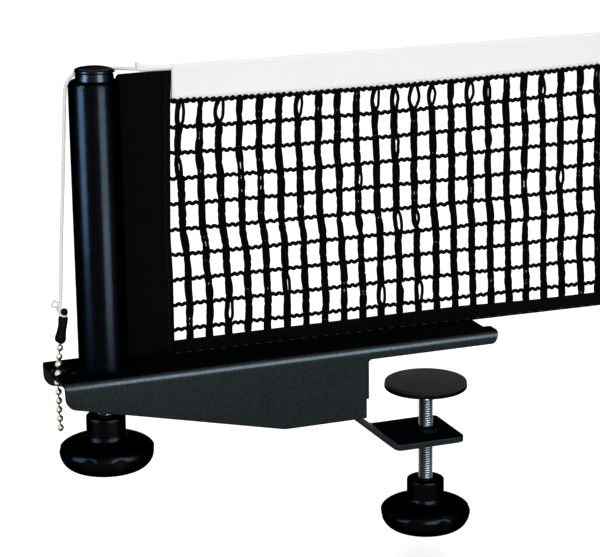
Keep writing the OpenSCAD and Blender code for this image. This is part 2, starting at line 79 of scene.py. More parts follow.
class Term:
    """A node's output, which takes part in sums like a number."""

    def __init__(self, socket):
        self.socket = socket

    def __add__(self, other):
        return maths("ADD", self, other)

    def __sub__(self, other):
        return maths("SUBTRACT", self, other)

    def __rsub__(self, other):
        return maths("SUBTRACT", other, self)

    def __mul__(self, other):
        return maths("MULTIPLY", self, other)

    def __truediv__(self, other):
        return maths("DIVIDE", self, other)

    def __rtruediv__(self, other):
        return maths("DIVIDE", other, self)


def add(tree, kind, *values, out=0, **settings):
    """A node with its inputs filled in order, or by name from one dict; gives its outputs."""
    node = tree.nodes.new(kind)
    for key, value in settings.items():
        setattr(node, key, value)
    by_name = values and isinstance(values[0], dict)
    for place, value in values[0].items() if by_name else enumerate(values):
        if isinstance(value, (Term, list)):
            for term in value if isinstance(value, list) else [value]:
                tree.links.new(term.socket, node.inputs[place])
        else:
            node.inputs[place].default_value = value
    if isinstance(out, tuple):
        return [Term(node.outputs[which]) for which in out]
    return Term(node.outputs[out])


def maths(operation, *values):
    """A maths node, in the tree of the terms among its values."""
    tree = next(v.socket.id_data for v in values if isinstance(v, Term))
    return add(tree, "ShaderNodeMath", *values, operation=operation)


def finish(name, colour, roughness, metallic=0.0, specular=0.5, tint=1.0, sheen=0.0):
    """A material with its uniform values on the shader's own sockets."""
    material = bpy.data.materials.new(name)
    material.use_nodes = True
    values = {"Base Color": (*colour, 1), "Roughness": roughness, "Metallic": metallic}
    values |= {"Specular IOR Level": specular, "Specular Tint": (tint, tint, tint, 1)}
    values |= {"Sheen Weight": sheen}
    for place, value in values.items():
        material.node_tree.nodes["Principled BSDF"].inputs[place].default_value = value
    return material


def blended(factor, first, second):
    """Two colours mixed by a factor."""
    mix = {0: factor, 6: (*first, 1), 7: (*second, 1)}
    return add(factor.socket.id_data, "ShaderNodeMix", mix, out=2, data_type="RGBA")


def spread_out(value, low, high, start=0.0, end=1.0):
    """A value between start and end, brought to the range low to high."""
    ends = {"From Min": start, "From Max": end, "To Min": low, "To Max": high}
    return add(value.socket.id_data, "ShaderNodeMapRange", {"Value": value, **ends})


def noise(tree, scale, detail=2.0, where=None):
    """Noise over the object's own coordinates, with scale in features a metre."""
    where = where or add(tree, "ShaderNodeTexCoord", out="Object")
    return add(tree, "ShaderNodeTexNoise", {"Vector": where, "Scale": scale, "Detail": detail})


def set_on(material, **terms):
    """Links terms to the shader's inputs; an underscore stands for a space."""
    tree = material.node_tree
    for place, term in terms.items():
        tree.links.new(term.socket, tree.nodes["Principled BSDF"].inputs[place.replace("_", " ")])


def relief(material, height, depth, strength):
    """Bump of the given depth in millimetres from a 0 to 1 height."""
    bump = {"Strength": strength, "Distance": depth * mm, "Height": height}
    set_on(material, Normal=add(material.node_tree, "ShaderNodeBump", bump))


def piece(name, points, faces, uv, material, smooth=True):
    """A mesh object from points in millimetres; uv gives each point's place on a flat pattern."""
    mesh = bpy.data.meshes.new(name)
    mesh.from_pydata([tuple(c * mm for c in p) for p in points], [], faces)
    mesh.materials.append(material)
    mesh.polygons.foreach_set("use_smooth", [smooth] * len(mesh.polygons))
    if uv:
        layer = mesh.uv_layers.new(name="pattern")
        for loop in mesh.loops:
            layer.data[loop.index].uv = uv[loop.vertex_index]
    mesh.validate()
    return placed(name, mesh)


def joined(*parts):
    """Several meshes' points, faces and pattern places, made one mesh's."""
    points, faces, uv = [], [], []
    for more_points, more_faces, more_uv in parts:
        faces += [tuple(i + len(points) for i in face) for face in more_faces]
        points += more_points
        uv += more_uv
    return points, faces, uv


def fitted(made, body, node):
    """Says which body a piece moves with, which CAD node it replaces."""
    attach(made, body)
    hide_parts(node)
    return made


def smooth_route(route, steps):
    """The curve through the route's points, as in the CAD, with the steps between two of them."""
    p = [np.array(q, float) for q in route]
    p = [p[0]] + p + [p[-1]]
    line = []
    for a, b, c, d in zip(p, p[1:], p[2:], p[3:]):
        square, cube = 2 * a - 5 * b + 4 * c - d, 3 * b - a - 3 * c + d
        for t in np.arange(steps) / steps:
            line.append(0.5 * (2 * b + (c - a) * t + square * t**2 + cube * t**3))
    return line + [p[-1]]


def tube_mesh(line, radii, sides, closed=False, flat=1.0):
    """Points, faces and pattern places of a tube along a line; flat presses it on one side."""
    line = [np.array(q, float) for q in line]
    count = len(line)
    radii = [radii] * count if np.isscalar(radii) else radii
    tangents = []
    for i in range(count):
        ahead = line[(i + 1) % count] if closed else line[min(i + 1, count - 1)]
        behind = line[i - 1] if closed else line[max(i - 1, 0)]
        tangents.append((ahead - behind) / np.linalg.norm(ahead - behind))
    upright = abs(tangents[0][2]) > 0.8
    normal = np.array([0.0, 1.0, 0.1] if upright else [0.1, 0.2, 1.0])
    points, uv, along = [], [], 0.0
    for i in range(count):
        normal = normal - tangents[i] * (normal @ tangents[i])
        normal = normal / np.linalg.norm(normal)
        across = np.cross(tangents[i], normal)
        along += np.linalg.norm(line[i] - line[i - 1]) if i else 0.0
        for k in range(sides):
            a = math.tau * k / sides
            way = flat * math.cos(a) * normal + math.sin(a) * across
            points.append(line[i] + radii[i] * way)
            uv.append((min(k, sides - k) * 2 / sides, along * cm))
    faces = []
    for i in range(count if closed else count - 1):
        here, there = i * sides, (i + 1) % count * sides
        for k in range(sides):
            after = (k + 1) % sides
            faces.append((here + k, there + k, there + after, here + after))
    if not closed:
        faces.append(tuple(range(sides)))
        faces.append(tuple(reversed(range((count - 1) * sides, count * sides))))
    return points, faces, uv


# The braid: two sets of plaits that cross, on a pattern that runs round the line and along it.
braid_colour, plait_length = (0.84, 0.84, 0.82), 1.6
white_braid = finish("white_braid", braid_colour, 0.6, specular=0.3, sheen=0.15)
tree = white_braid.node_tree
pattern = add(tree, "ShaderNodeUVMap", uv_map="pattern")
round_it, along = add(tree, "ShaderNodeSeparateXYZ", pattern, out=(0, 1))
round_it, along = round_it * (4 * math.pi), along * (math.tau / (plait_length * cm))
crossing = maths("MAXIMUM", maths("SINE", round_it + along), maths("SINE", round_it - along))
plaits = spread_out(crossing, 0.0, 1.0)
relief(white_braid, plaits, 0.09, 0.8)
shade = spread_out(plaits, 0.35, 1.0)
set_on(white_braid, Base_Color=blended(shade, [c * 0.72 for c in braid_colour], braid_colour))

cap_x, neck_r, neck_z = -171.1, 9.7, 151.65
line_r, line_z, line_far_x, tape_end_x = 0.9, 151.45, 109.6, -150.0
round_neck = [
    (cap_x + neck_r * math.cos(a), neck_r * math.sin(a), neck_z)
    for a in (math.radians(degrees) for degrees in (86, 114, 143, 173))
]
head_route = [
    *[(x, 0, line_z) for x in np.linspace(line_far_x, tape_end_x + 4, 14)],
    (tape_end_x + 0.1, 0.1, line_z + 0.6),
    (tape_end_x - 3, 0.8, line_z + 0.9),
    (tape_end_x - 9.5, 4.4, line_z + 0.9),
    (cap_x + 5.4, 8.2, neck_z + 0.25),
    *round_neck,
]
drop_route = [
    (-182.9, 0.5, 150.2), (-185.0, 0, 147.1), (-185.8, 0, 142.4), (-186.6, 0, 130.5),
    (-187.5, 0, 116), (-188.9, 0, 94), (-190.4, 0, 72), (-191.5, 0, 51), (-192.2, 0, 40.9),
]
route_steps = 8
whole_line = smooth_route(head_route + drop_route, route_steps)
parting = (len(head_route) - 1) * route_steps
head_part, drop_part = whole_line[: parting + 1], whole_line[parting:]
head_line = piece("head_line_cord", *tube_mesh(head_part, line_r, 16), white_braid)
drop_line = piece("tension_line_cord", *tube_mesh(drop_part, line_r, 16), white_braid)

# The knot: the line runs down the ball head's side, once round the toggle's neck and up again, and
# ends in a small, loosely drawn knot.
bight = smooth_route(
    [
        (-192.2, 0, 41.4), (-192.3, -0.3, 40.4), (-192.75, -0.5, 39.0), (-193.0, -0.5, 37.6),
        (-192.85, -0.6, 36.4), (-192.2, -1.1, 35.6), (-191.4, -1.45, 35.25),
        (-190.4, -1.45, 35.1), (-189.6, -0.8, 35.05), (-189.4, 0.3, 35.1), (-190.1, 1.35, 35.3),
        (-191.4, 1.5, 35.6), (-192.6, 1.1, 36.3), (-193.3, 0.7, 37.8), (-193.8, 0.4, 39.2),
        (-194.3, 0.1, 40.3),
    ],
    6,
)
thin_at, thin_r = (0, 18, 32, 62, 72, 90), (0.8, 0.75, 0.42, 0.42, 0.7, 0.62)
bight_r = np.interp(np.arange(len(bight)), thin_at, thin_r)
knot_x, knot_z, knot_line_r = -194.9, 41.5, 0.48
loose_knot = [
    (
        knot_x + 1.62 * math.cos(t) + 0.28 * math.cos(2 * t + 0.6),
        0.7 * math.sin(2 * t) - 0.1,
        knot_z + 1.45 * math.sin(t) - 0.25 * math.sin(2 * t),
    )
    for t in np.linspace(0, math.tau, 40, endpoint=False)
]
bight_mesh = tube_mesh(bight, bight_r, 12)
knot_mesh = tube_mesh(loose_knot, knot_line_r, 12, closed=True)
knot = piece("line_end_knot", *joined(bight_mesh, knot_mesh), white_braid)

fitted(head_line, "post", "head_line")
fitted(knot, "bracket", "line_knot")
head_path = [tuple(c * mm for c in q) for q in head_part]
drop_path = [tuple(c * mm for c in q) for q in drop_part]
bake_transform(drop_line)
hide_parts("tension_line")


def length_of(line):
    return sum(float(np.linalg.norm(b - a)) for a, b in zip(line, line[1:])) * mm


length_of(head_part)
length_of(drop_part)

# ---- Bracket --------------------------------------------------------------------------------
# Channel bent from 2.5 mm steel sheet, with the jaw strip and two cross plates welded between
# its webs. All of it has a satin blue-black powder coat with a fine, slightly pebbled skin.

powder_coat = finish("powder_coat", (0.008, 0.010, 0.0105), 0.3, metallic=1.0, tint=0.05)
tree = powder_coat.node_tree
relief(powder_coat, noise(tree, 900) * 0.65 + noise(tree, 2600) * 0.35, 0.04, 0.5)
speckle = noise(tree, 700, 4.0)
set_on(
    powder_coat,
    Roughness=spread_out(noise(tree, 45, 4.0), 0.26, 0.36),
    Base_Color=blended(speckle, (0.0038, 0.0053, 0.0058), (0.0180, 0.0218, 0.0231)),
)


def dress(material, *names):
    """Gives CAD nodes, which keep their own meshes, a finish."""
    for name in names:
        for held in nodes[name].material_slots:
            held.material = material


def softened(name, width, material, body, sharp=28):
    """A copy of a CAD node with its sharp edges rounded by the given width, as coated sheet has."""
    build, ops = bmesh.new(), bmesh.ops
    build.from_mesh(nodes[name].data)
    ops.remove_doubles(build, verts=build.verts, dist=1e-6)
    straight = math.radians(0.4)
    ops.dissolve_limit(build, angle_limit=straight, verts=build.verts, edges=build.edges)
    ops.recalc_face_normals(build, faces=build.faces)
    edges = [
        e
        for e in build.edges
        if len(e.link_faces) == 2 and e.calc_face_angle(0) > math.radians(sharp)
    ]
    rounding = {"offset": width * mm, "segments": 3, "profile": 0.5, "clamp_overlap": True}
    ops.bevel(build, geom=edges, affect="EDGES", **rounding)
    mesh = bpy.data.meshes.new(name + "_soft_edged")
    build.to_mesh(mesh)
    build.free()
    mesh.materials.append(material)
    mesh.polygons.foreach_set("use_smooth", [True] * len(mesh.polygons))
    mesh.set_sharp_from_angle(angle=math.radians(34))
    return fitted(placed(mesh.name, mesh), body, name)


bracket = softened("bracket", 0.35, powder_coat, "bracket")
lower_jaw = softened("lower_jaw", 0.5, powder_coat, "bracket")
dress(powder_coat, "end_plate", "bridge_plate", "jaw_nut")

# ---- Jaw rubbers ----------------------------------------------------------------------------
# Black rubber, matt and slightly dusty. A lining is glued under the flange, a block stops the
# table's edge, and a disc of it faces the pressure pad.

black_rubber = finish("black_rubber", (0.006, 0.006, 0.006), 0.78, specular=0.2)
tree = black_rubber.node_tree
relief(black_rubber, noise(tree, 1500, 3.0), 0.06, 0.6)
dust = noise(tree, 180, 5.0)
set_on(
    black_rubber,
    Base_Color=blended(dust, (0.003, 0.003, 0.003), (0.009, 0.009, 0.0095)),
    Roughness=spread_out(noise(tree, 70, 3.0), 0.68, 0.9),
)
dress(black_rubber, "table_stop", "jaw_lining", "pad_face")

# ---- Keyhole plate and its rivets ------------------------------------------------------------
# A small plate riveted under the notch in the bracket's free end, which catches the bead chain in
# its slot, coated with the bracket. The nut, washer and clips inside are zinc-plated steel. The
# knobs' zinc inserts get a near-black steel finish instead, painted shade for the shadow they sit
# in.

zinc = finish("zinc", (0.2, 0.21, 0.22), 0.34, metallic=1.0)
tree = zinc.node_tree
spangle = noise(tree, 420, 4.0)
relief(zinc, noise(tree, 1800, 3.0), 0.02, 0.5)
set_on(
    zinc,
    Roughness=spread_out(spangle, 0.2, 0.46),
    Base_Color=blended(spangle, (0.07, 0.075, 0.08), (0.20, 0.21, 0.22)),
)
dress(powder_coat, "chain_plate", "chain_rivets")
dress(zinc, "height_nut", "height_washer", "height_clip", "pad_clip")

# Painted shade: this near-black steel stands for the shadow that the knobs' zinc inserts sit in.
painted_shade_steel = finish("blackened_steel", (0.015, 0.016, 0.018), 0.4, metallic=1.0, tint=0.1)
tree = painted_shade_steel.node_tree
relief(painted_shade_steel, noise(tree, 1600, 3.0), 0.02, 0.5)
scale = noise(tree, 500, 4.0)
set_on(painted_shade_steel, Base_Color=blended(scale, (0.006, 0.0065, 0.007), (0.03, 0.03, 0.033)))
dress(painted_shade_steel, "height_insert", "clamp_insert")

# ---- Bead chain -----------------------------------------------------------------------------
# Ten hollow nickelled-brass beads on loose links of wire. The pull of the line holds the fifth
# one against the underside of the keyhole plate, and the rest hang free below it.

bead_r, link_r = 1.696, 0.32
bead_places = [
    (-193.35, 19.3), (-193.88, 14.9), (-194.25, 10.9), (-194.6, 6.15), (-195.0, 1.8),
    (-194.92, -2.85), (-194.93, -7.35), (-195.0, -11.9), (-194.8, -16.45), (-194.7, -21.2),
]


def geometry_tree(name, sizes, counts=()):
    """A Geometry Nodes tree with named inputs; gives the tree and its inputs."""
    tree = bpy.data.node_groups.new(name, "GeometryNodeTree")
    kinds = {"Geometry": "Geometry", **dict.fromkeys(counts, "Int")}
    kinds |= {**dict.fromkeys(sizes, "Float"), "Material": "Material"}
    for label, kind in kinds.items():
        tree.interface.new_socket(label, in_out="INPUT", socket_type="NodeSocket" + kind)
    tree.interface.new_socket("Geometry", in_out="OUTPUT", socket_type="NodeSocketGeometry")
    given = tree.nodes.new("NodeGroupInput")
    return tree, {socket.name: Term(socket) for socket in given.outputs if socket.name}


def close_tree(tree, shape, given):
    """Ends a tree in smooth shading, real geometry and its material."""
    shape = add(tree, "GeometryNodeSetShadeSmooth", shape)
    shape = add(tree, "GeometryNodeRealizeInstances", shape)
    shape = add(tree, "GeometryNodeSetMaterial", {"Geometry": shape, "Material": given["Material"]})
    tree.links.new(shape.socket, tree.nodes.new("NodeGroupOutput").inputs[0])


def grown(name, layout, tree, material, **sizes):
    """The plain mesh that a tree makes of a layout, which goes."""
    shaping = layout.modifiers.new("shape", "NODES")
    shaping.node_group = tree
    sizes["Material"] = material
    for item in tree.interface.items_tree:
        if item.item_type == "SOCKET" and item.in_out == "INPUT" and item.name in sizes:
            shaping[item.identifier] = sizes[item.name]
    bpy.context.view_layer.update()
    made = layout.evaluated_get(bpy.context.evaluated_depsgraph_get())
    mesh = bpy.data.meshes.new_from_object(made)
    mesh.name = name
    bpy.data.objects.remove(layout)
    if not len(mesh.materials):
        mesh.materials.append(material)
    return placed(name, mesh)


def layout_lines(name, lines, **marks):
    """Polylines in millimetres for a tree to follow; marks are named numbers at their points."""
    points = [tuple(float(c) * mm for c in p) for line in lines for p in line]
    edges, start = [], 0
    for line in lines:
        edges += [(start + i, start + i + 1) for i in range(len(line) - 1)]
        start += len(line)
    mesh = bpy.data.meshes.new(name)
    mesh.from_pydata(points, edges, [])
    for label, values in marks.items():
        mark = mesh.attributes.new(label, "FLOAT", "POINT")
        mark.data.foreach_set("value", [float(v) for line in values for v in line])
    return placed(name, mesh)


def marked(tree, shape, name, value, kind="FLOAT", domain="POINT"):
    """A shape with a named value stored on its points or curves."""
    mark = {"Geometry": shape, "Name": name, "Value": value}
    return add(tree, "GeometryNodeStoreNamedAttribute", mark, data_type=kind, domain=domain)


def tubes(tree, curve, sides, radius):
    """Closed tubes along curves."""
    ring = add(tree, "GeometryNodeCurvePrimitiveCircle", {"Resolution": sides, "Radius": radius})
    sweep = {"Curve": curve, "Profile Curve": ring, "Fill Caps": True}
    return add(tree, "GeometryNodeCurveToMesh", sweep)


# Painted shade: each bead's colour goes dark on its lower, right and back side, away from the upper
# left and front, and the wire links are dark all over; a random tarnish is mixed in.
nickel = finish("nickelled_brass", (0.74, 0.70, 0.58), 0.22, metallic=1.0)
tree = nickel.node_tree
tarnish = add(tree, "ShaderNodeAttribute", attribute_name="tarnish", out="Fac")
tarnish = tarnish + spread_out(noise(tree, 700, 3.0), -0.3, 0.3)
set_on(
    nickel,
    Roughness=spread_out(tarnish, 0.16, 0.42),
    Base_Color=blended(tarnish, (0.70, 0.67, 0.58), (0.020, 0.017, 0.012)),
)
relief(nickel, noise(tree, 1400), 0.02, 0.4)

beads, given = geometry_tree("bead_chain", ("Bead radius", "Link radius"))
curve = add(beads, "GeometryNodeMeshToCurve", given["Geometry"])
centres = add(beads, "GeometryNodeCurveToPoints", curve, out="Points", mode="EVALUATED")
ball = {"Segments": 24, "Rings": 14, "Radius": given["Bead radius"]}
ball = add(beads, "GeometryNodeMeshUVSphere", ball)
collar = {"Vertices": 16, "Radius": given["Bead radius"] * 0.46}
collar["Depth"] = given["Bead radius"] * 2.06
collar = add(beads, "GeometryNodeMeshCylinder", collar)
bead = add(beads, "GeometryNodeJoinGeometry", [ball, collar])
# Painted shade on each bead: its side away from this way, which points up, left and to the front,
# is marked dark.
position, lit_side_way = add(beads, "GeometryNodeInputPosition"), (-0.45, -0.35, 0.82)
dot = {"out": "Value", "operation": "DOT_PRODUCT"}
painted_shading = add(beads, "ShaderNodeVectorMath", position, lit_side_way, **dot)
painted_shading = spread_out(painted_shading / given["Bead radius"], 0.0, 1.0, 0.75, 0.05)
bead = marked(beads, bead, "tarnish", painted_shading)
strung = add(beads, "GeometryNodeInstanceOnPoints", {"Points": centres, "Instance": bead})
# The links are marked fully dark, which is painted shade between the beads.
wire = marked(beads, tubes(beads, curve, 8, given["Link radius"]), "tarnish", 1.1)
close_tree(beads, add(beads, "GeometryNodeJoinGeometry", [strung, wire]), given)

layout = layout_lines("chain_layout", [[(x, 0.0, z) for x, z in bead_places]])
sizes = {"Bead radius": bead_r * mm, "Link radius": link_r * mm}
chain = grown("bead_chain_beads", layout, beads, nickel, **sizes)
fitted(chain, "bracket", "bead_chain")

# ---- Toggle ---------------------------------------------------------------------------------
# A moulded black toggle, with a ball head that the line is tied under and the chain's top bead
# snapped into its foot.


def moulded(name, colour, roughness, grain):
    """Black moulding with a faint grain and slightly uneven gloss."""
    material = finish(name, colour, roughness, metallic=1.0, specular=0.15, tint=0.05)
    tree = material.node_tree
    relief(material, noise(tree, 700, 3.0), grain, 0.5)
    dark, light = ([c * share for c in colour] for share in (0.6, 1.5))
    set_on(
        material,
        Roughness=spread_out(noise(tree, 60, 4.0), roughness * 0.75, roughness * 1.35),
        Base_Color=blended(noise(tree, 90, 3.0), dark, light),
    )
    return material


matte_black = moulded("matte_black", (0.0040, 0.0042, 0.0045), 0.4, 0.05)

toggle_stations = [
    (-190.42, 38.8, 0.25), (-190.42, 38.6, 0.95), (-190.42, 38.15, 1.45), (-190.42, 37.5, 1.78),
    (-190.42, 36.8, 1.9), (-190.45, 36.1, 1.7), (-190.6, 35.65, 1.35), (-190.85, 35.3, 1.2),
    (-190.95, 34.98, 1.45), (-191.0, 34.7, 2.15), (-191.05, 34.2, 2.4), (-191.1, 33.2, 2.42),
    (-191.2, 32.2, 2.36), (-191.5, 30.3, 2.25), (-191.95, 28.4, 2.2), (-192.3, 26.4, 2.42),
    (-192.75, 24.7, 2.76), (-192.85, 24.0, 2.85), (-192.75, 23.2, 2.75), (-192.6, 22.5, 2.45),
    (-192.7, 21.8, 1.7), (-192.8, 21.35, 1.1), (-192.8, 21.1, 0.4),
]
toggle_line = [(x, 0.0, z) for x, z, r in toggle_stations]
toggle_r = [r for x, z, r in toggle_stations]
toggle = piece("toggle_moulding", *tube_mesh(toggle_line, toggle_r, 20, flat=0.86), matte_black)
rounding = toggle.modifiers.new("rounding", "SUBSURF")
rounding.levels = rounding.render_levels = 1
fitted(toggle, "bracket", "chain_toggle")

# ---- Post -----------------------------------------------------------------------------------
# A steel tube of 24.4 mm, slit up its side for the net, in a smooth gloss coat with a light
# ripple. A moulded plug closes its foot, and it slides in a guide ring in the bracket's flange.

post_paint = finish("post_paint", (0.0012, 0.0014, 0.0018), 0.15, metallic=1.0, tint=0.03)
tree = post_paint.node_tree
relief(post_paint, noise(tree, 260) * 0.7 + noise(tree, 1100) * 0.3, 0.14, 0.6)
cloudy = noise(tree, 50, 3.0)
set_on(
    post_paint,
    Roughness=spread_out(noise(tree, 80, 4.0), 0.16, 0.3),
    Base_Color=blended(cloudy, (0.0010, 0.0011, 0.0014), (0.0016, 0.0018, 0.0023)),
)
dress(post_paint, "post_tube")
dress(matte_black, "post_foot", "post_guide")

# ---- Collar and cap -------------------------------------------------------------------------
# The collar rounds the tube's rim, and the cap plugs into it with a shallow groove for the line.
# Both are black mouldings; the cap's thin brim droops a little on the net's side.


def spun(name, x, profile, sides, material):
    """A turned blank about an upright axis at x, through (radius, z) points from foot to top."""
    points, faces = [], []
    for r, z in profile:
        for k in range(sides):
            a = math.tau * k / sides
            points.append((x + r * math.cos(a), r * math.sin(a), z))
    for j in range(len(profile) - 1):
        for k in range(sides):
            a, b = j * sides + k, j * sides + (k + 1) % sides
            faces.append((a, b, b + sides, a + sides))
    faces.append(tuple(range(sides - 1, -1, -1)))
    faces.append(tuple((len(profile) - 1) * sides + k for k in range(sides)))
    return piece(name, points, faces, None, material)


def arc(middle_r, middle_z, wide, tall, start, stop, count):
    """Profile points on part of an ellipse, between two angles in degrees."""
    return [
        (middle_r + wide * math.cos(a), middle_z + tall * math.sin(a))
        for a in np.radians(np.linspace(start, stop, count))
    ]


collar_black = moulded("collar_black", (0.0013, 0.0014, 0.0017), 0.22, 0.02)
cap_black = moulded("cap_black", (0.0036, 0.0042, 0.0048), 0.24, 0.04)
dress(collar_black, "post_collar")

cap_top, brim_h = 154.0, 0.85
cap_profile = [
    (0.4, 143.0), (8.8, 143.0), (9.2, 143.4), (9.2, 150.3), (9.1, 150.8), (8.95, 151.0),
    (8.9, 151.6), (8.9, 152.2), (9.0, 152.5), (9.25, 152.65), (9.42, 152.85),
    *arc(8.5, cap_top - brim_h, 1.0, brim_h, 0, 90, 7),
    (7.6, 153.93), (6.8, 153.78), (5.0, 153.7), (2.5, 153.72), (0.4, 153.75),
]
cap = spun("post_cap_moulding", cap_x, cap_profile, 72, cap_black)
brim_foot, brim_r = 152.2, 9.5
for vertex in cap.data.vertices:
    x, y, z = (c / mm for c in vertex.co)
    if z > brim_foot:
        side = max(0.0, (x - cap_x) / brim_r)
        out = math.hypot(x - cap_x, y) / brim_r
        vertex.co.z -= mm * side**3 * out**3
        vertex.co.x += 0.3 * mm * side**2
fitted(cap, "post", "post_cap")

# ---- Rods -----------------------------------------------------------------------------------
# White rods of pultruded fibreglass, held in the end panels' sleeves. The near one keeps its
# panel inside the post; the far one ends this stretch of the net.

fibreglass = finish("fibreglass_rod", (0.78, 0.78, 0.74), 0.4)
tree = fibreglass.node_tree
where = add(tree, "ShaderNodeTexCoord", out="Object")
drawn = add(tree, "ShaderNodeMapping", {"Vector": where, "Scale": (1.0, 1.0, 0.02)})
fibres = noise(tree, 2500, 3.0, drawn)
relief(fibreglass, fibres, 0.03, 0.6)
set_on(fibreglass, Base_Color=blended(fibres, (0.66, 0.66, 0.62), (0.84, 0.84, 0.81)))
dress(fibreglass, "near_rod", "far_rod")

# ---- End panels -----------------------------------------------------------------------------
# Black woven cloth, doubled round a rod and sewn to itself, so that the net's ends go between
# its two layers. The near one leaves the post through the slot.


def woven(name, dark, light, threads, depth, sheen, gloss=0.25):
    """Plain weave on the pattern's millimetres, with the threads' pitch in millimetres."""
    material = finish(name, light, 0.85, specular=gloss, sheen=sheen)
    tree = material.node_tree
    pattern = add(tree, "ShaderNodeUVMap", uv_map="pattern")
    turn = math.pi / (threads * cm)
    across, down = add(tree, "ShaderNodeSeparateXYZ", pattern, out=(0, 1))
    warp, weft = maths("SINE", across * turn), maths("SINE", down * turn)
    over = spread_out(warp * weft, 0.0, 1.0, -1.0)
    slub = noise(tree, 350, 4.0)
    relief(material, over * 0.7 + slub * 0.3, depth, 0.8)
    # Painted shade in the weave: the colour darkens where the threads dip under, and a random
    # unevenness darkens it in places too.
    painted_shading = over * spread_out(noise(tree, 40, 4.0), 0.5, 1.2)
    rough = spread_out(slub, 0.75, 0.95)
    set_on(material, Base_Color=blended(painted_shading, dark, light), Roughness=rough)
    return material


def cloth(rows, girth=None, keep=None):
    """A sheet through rows of points; its pattern runs along a girth, or along X, and along Z."""
    points = [p for row in rows for p in row]
    wide = len(rows[0])
    uv = [((girth[n % wide] if girth else p[0]) * cm, p[2] * cm) for n, p in enumerate(points)]
    faces = [
        (a, a + 1, a + 1 + wide, a + wide)
        for a in range(len(points) - wide)
        if (a + 1) % wide and (keep is None or keep(a % wide, a // wide))
    ]
    return points, faces, uv


def cloth_piece(name, material, thick, *sheets):
    """Joins sheets into one piece and gives it its thickness by a live modifier."""
    made = piece(name, *joined(*sheets), material)
    wall = made.modifiers.new("thickness", "SOLIDIFY")
    wall.thickness, wall.offset = thick * mm, 0
    return made


black_cloth = woven(
    "black_cloth", (0.0003, 0.0003, 0.0004), (0.0028, 0.0027, 0.0026), 0.6, 0.12, 0.0, 0.03
)

panel_top, net_bottom, panel_x, panel_cloth = 150.5, 8.7, -133.5, 0.8
rod_foot, rod_top, near_rod_x, far_rod_x, far_x = 9.6, 142.0, -166.7, 141.35, 110.6
sleeve_mid, layer_half, flat_steps, sleeve_steps = 4.25, 0.78, 22, 18


def panel_edge(z):
    """Where the near panel ends and the netting starts; the edge wanders."""
    heights = (8, 18, 50, 70, 85, 100, 120, 140, 151)
    places = (-135.75, -135.6, -135.4, -136.1, -135.7, -135.3, -134.8, -134.1, -133.4)
    return float(np.interp(z, heights, places))


def panel_start(z):
    """Where the near panel starts: at its sleeve, and above that beside the post."""
    if z <= rod_top:
        return near_rod_x + sleeve_mid * 0.98
    heights = (142, 142.3, 148.4, 149.2, 150.0, 150.6)
    return float(np.interp(z, heights, (-166, -160.9, -160.7, -160.4, -159.7, -158.2)))


def rumple(x, z, seed, size):
    """A small unevenness of hanging cloth."""
    along = math.sin(x * 0.31 + seed * 1.7 + 0.8 * math.sin(z * 0.043 + seed))
    down = math.sin(z * 0.067 + seed * 2.3 + 0.9 * math.sin(x * 0.12 + seed * 0.6))
    return size * (0.5 * along + 0.5 * down)


def panel_rows(rod_x, edge, heights, start, seed):
    """Rows of a doubled panel: in along its front, round the rod and out along its back."""
    towards = 1 if edge(80) > rod_x else -1
    opening = math.asin(layer_half / sleeve_mid)
    rows = []
    for z in heights:
        front, back = [], []
        for i in range(flat_steps + 1):
            t = i / flat_steps
            x = edge(z) + (start(z) - edge(z)) * t
            puff = layer_half * (0.72 + 0.5 * math.sin(math.pi * min(1, t * 1.25)) ** 0.6)
            bend = rumple(x, z, seed, 0.18) * math.sin(math.pi * min(1, 1.15 * t)) * (t < 0.87)
            front.append((x, -puff + bend, z))
            back.append((x, puff + bend, z))
        sleeve = []
        for i in range(sleeve_steps + 1):
            a = opening + (math.tau - 2 * opening) * i / sleeve_steps
            out = towards * sleeve_mid * math.cos(a)
            sleeve.append((rod_x + out, -sleeve_mid * math.sin(a), z))
        rows.append(front + sleeve + back[::-1])
    return rows


def doubled_panel(name, rod_x, edge, z0, z1, sleeve_top, start, seed):
    """A panel from z0 to z1 with its sleeve up to sleeve_top, and its cloth's girth in metres."""
    heights = list(np.linspace(z0, sleeve_top, 44))
    if z1 > sleeve_top:
        heights += list(np.linspace(sleeve_top + 0.3, z1, 10))
    rows = panel_rows(rod_x, edge, heights, start, seed)
    girth = [0.0]
    for a, b in zip(rows[10], rows[10][1:]):
        girth.append(girth[-1] + float(np.linalg.norm(np.subtract(b, a))))

    def keep(i, j):
        in_sleeve = flat_steps <= i <= flat_steps + sleeve_steps + 1
        return heights[j] < sleeve_top - 0.01 or not in_sleeve

    made = cloth_piece(name, black_cloth, panel_cloth, cloth(rows, girth, keep))
    return made, girth[-1] * mm


def far_edge(z):
    return far_x


def far_start(z):
    return far_rod_x - sleeve_mid * 0.98


near_top, far_foot, far_top = panel_top - 0.3, net_bottom - 1.6, panel_top - 0.1
near_panel, near_girth = doubled_panel(
    "near_panel_cloth", near_rod_x, panel_edge, rod_foot, near_top, rod_top, panel_start, 1.0
)
far_panel, far_girth = doubled_panel(
    "far_panel_cloth", far_rod_x, far_edge, far_foot, far_top, far_top, far_start, 4.0
)
for panel, node, girth, tall in (
    (near_panel, "near_panel", near_girth, 0.141),
    (far_panel, "far_panel", far_girth, 0.143),
):
    fitted(panel, "post", node)

# ---- Netting --------------------------------------------------------------------------------
# Black nylon netting without knots. Its uprights are four loose yarns that open into eyes here
# and there, and its level threads are two fine yarns that run in small waves through them.

mesh_w, mesh_h, strands, rows_down = 10.2, 12.63, 24, 10
first_strand_x, first_thread_z, sag_span = -129.2, 135, 224
shift_near = [0, -0.7, -1.7, -0.6, -0.5, -0.4, 1.3, 1.8, 2.4, 1.9, 1.8]
shift_far = [0, -0.2, 0.9, 0.9, 1, 1.2, 2.3, 2.1, 2.4, 3.1, 3.3]


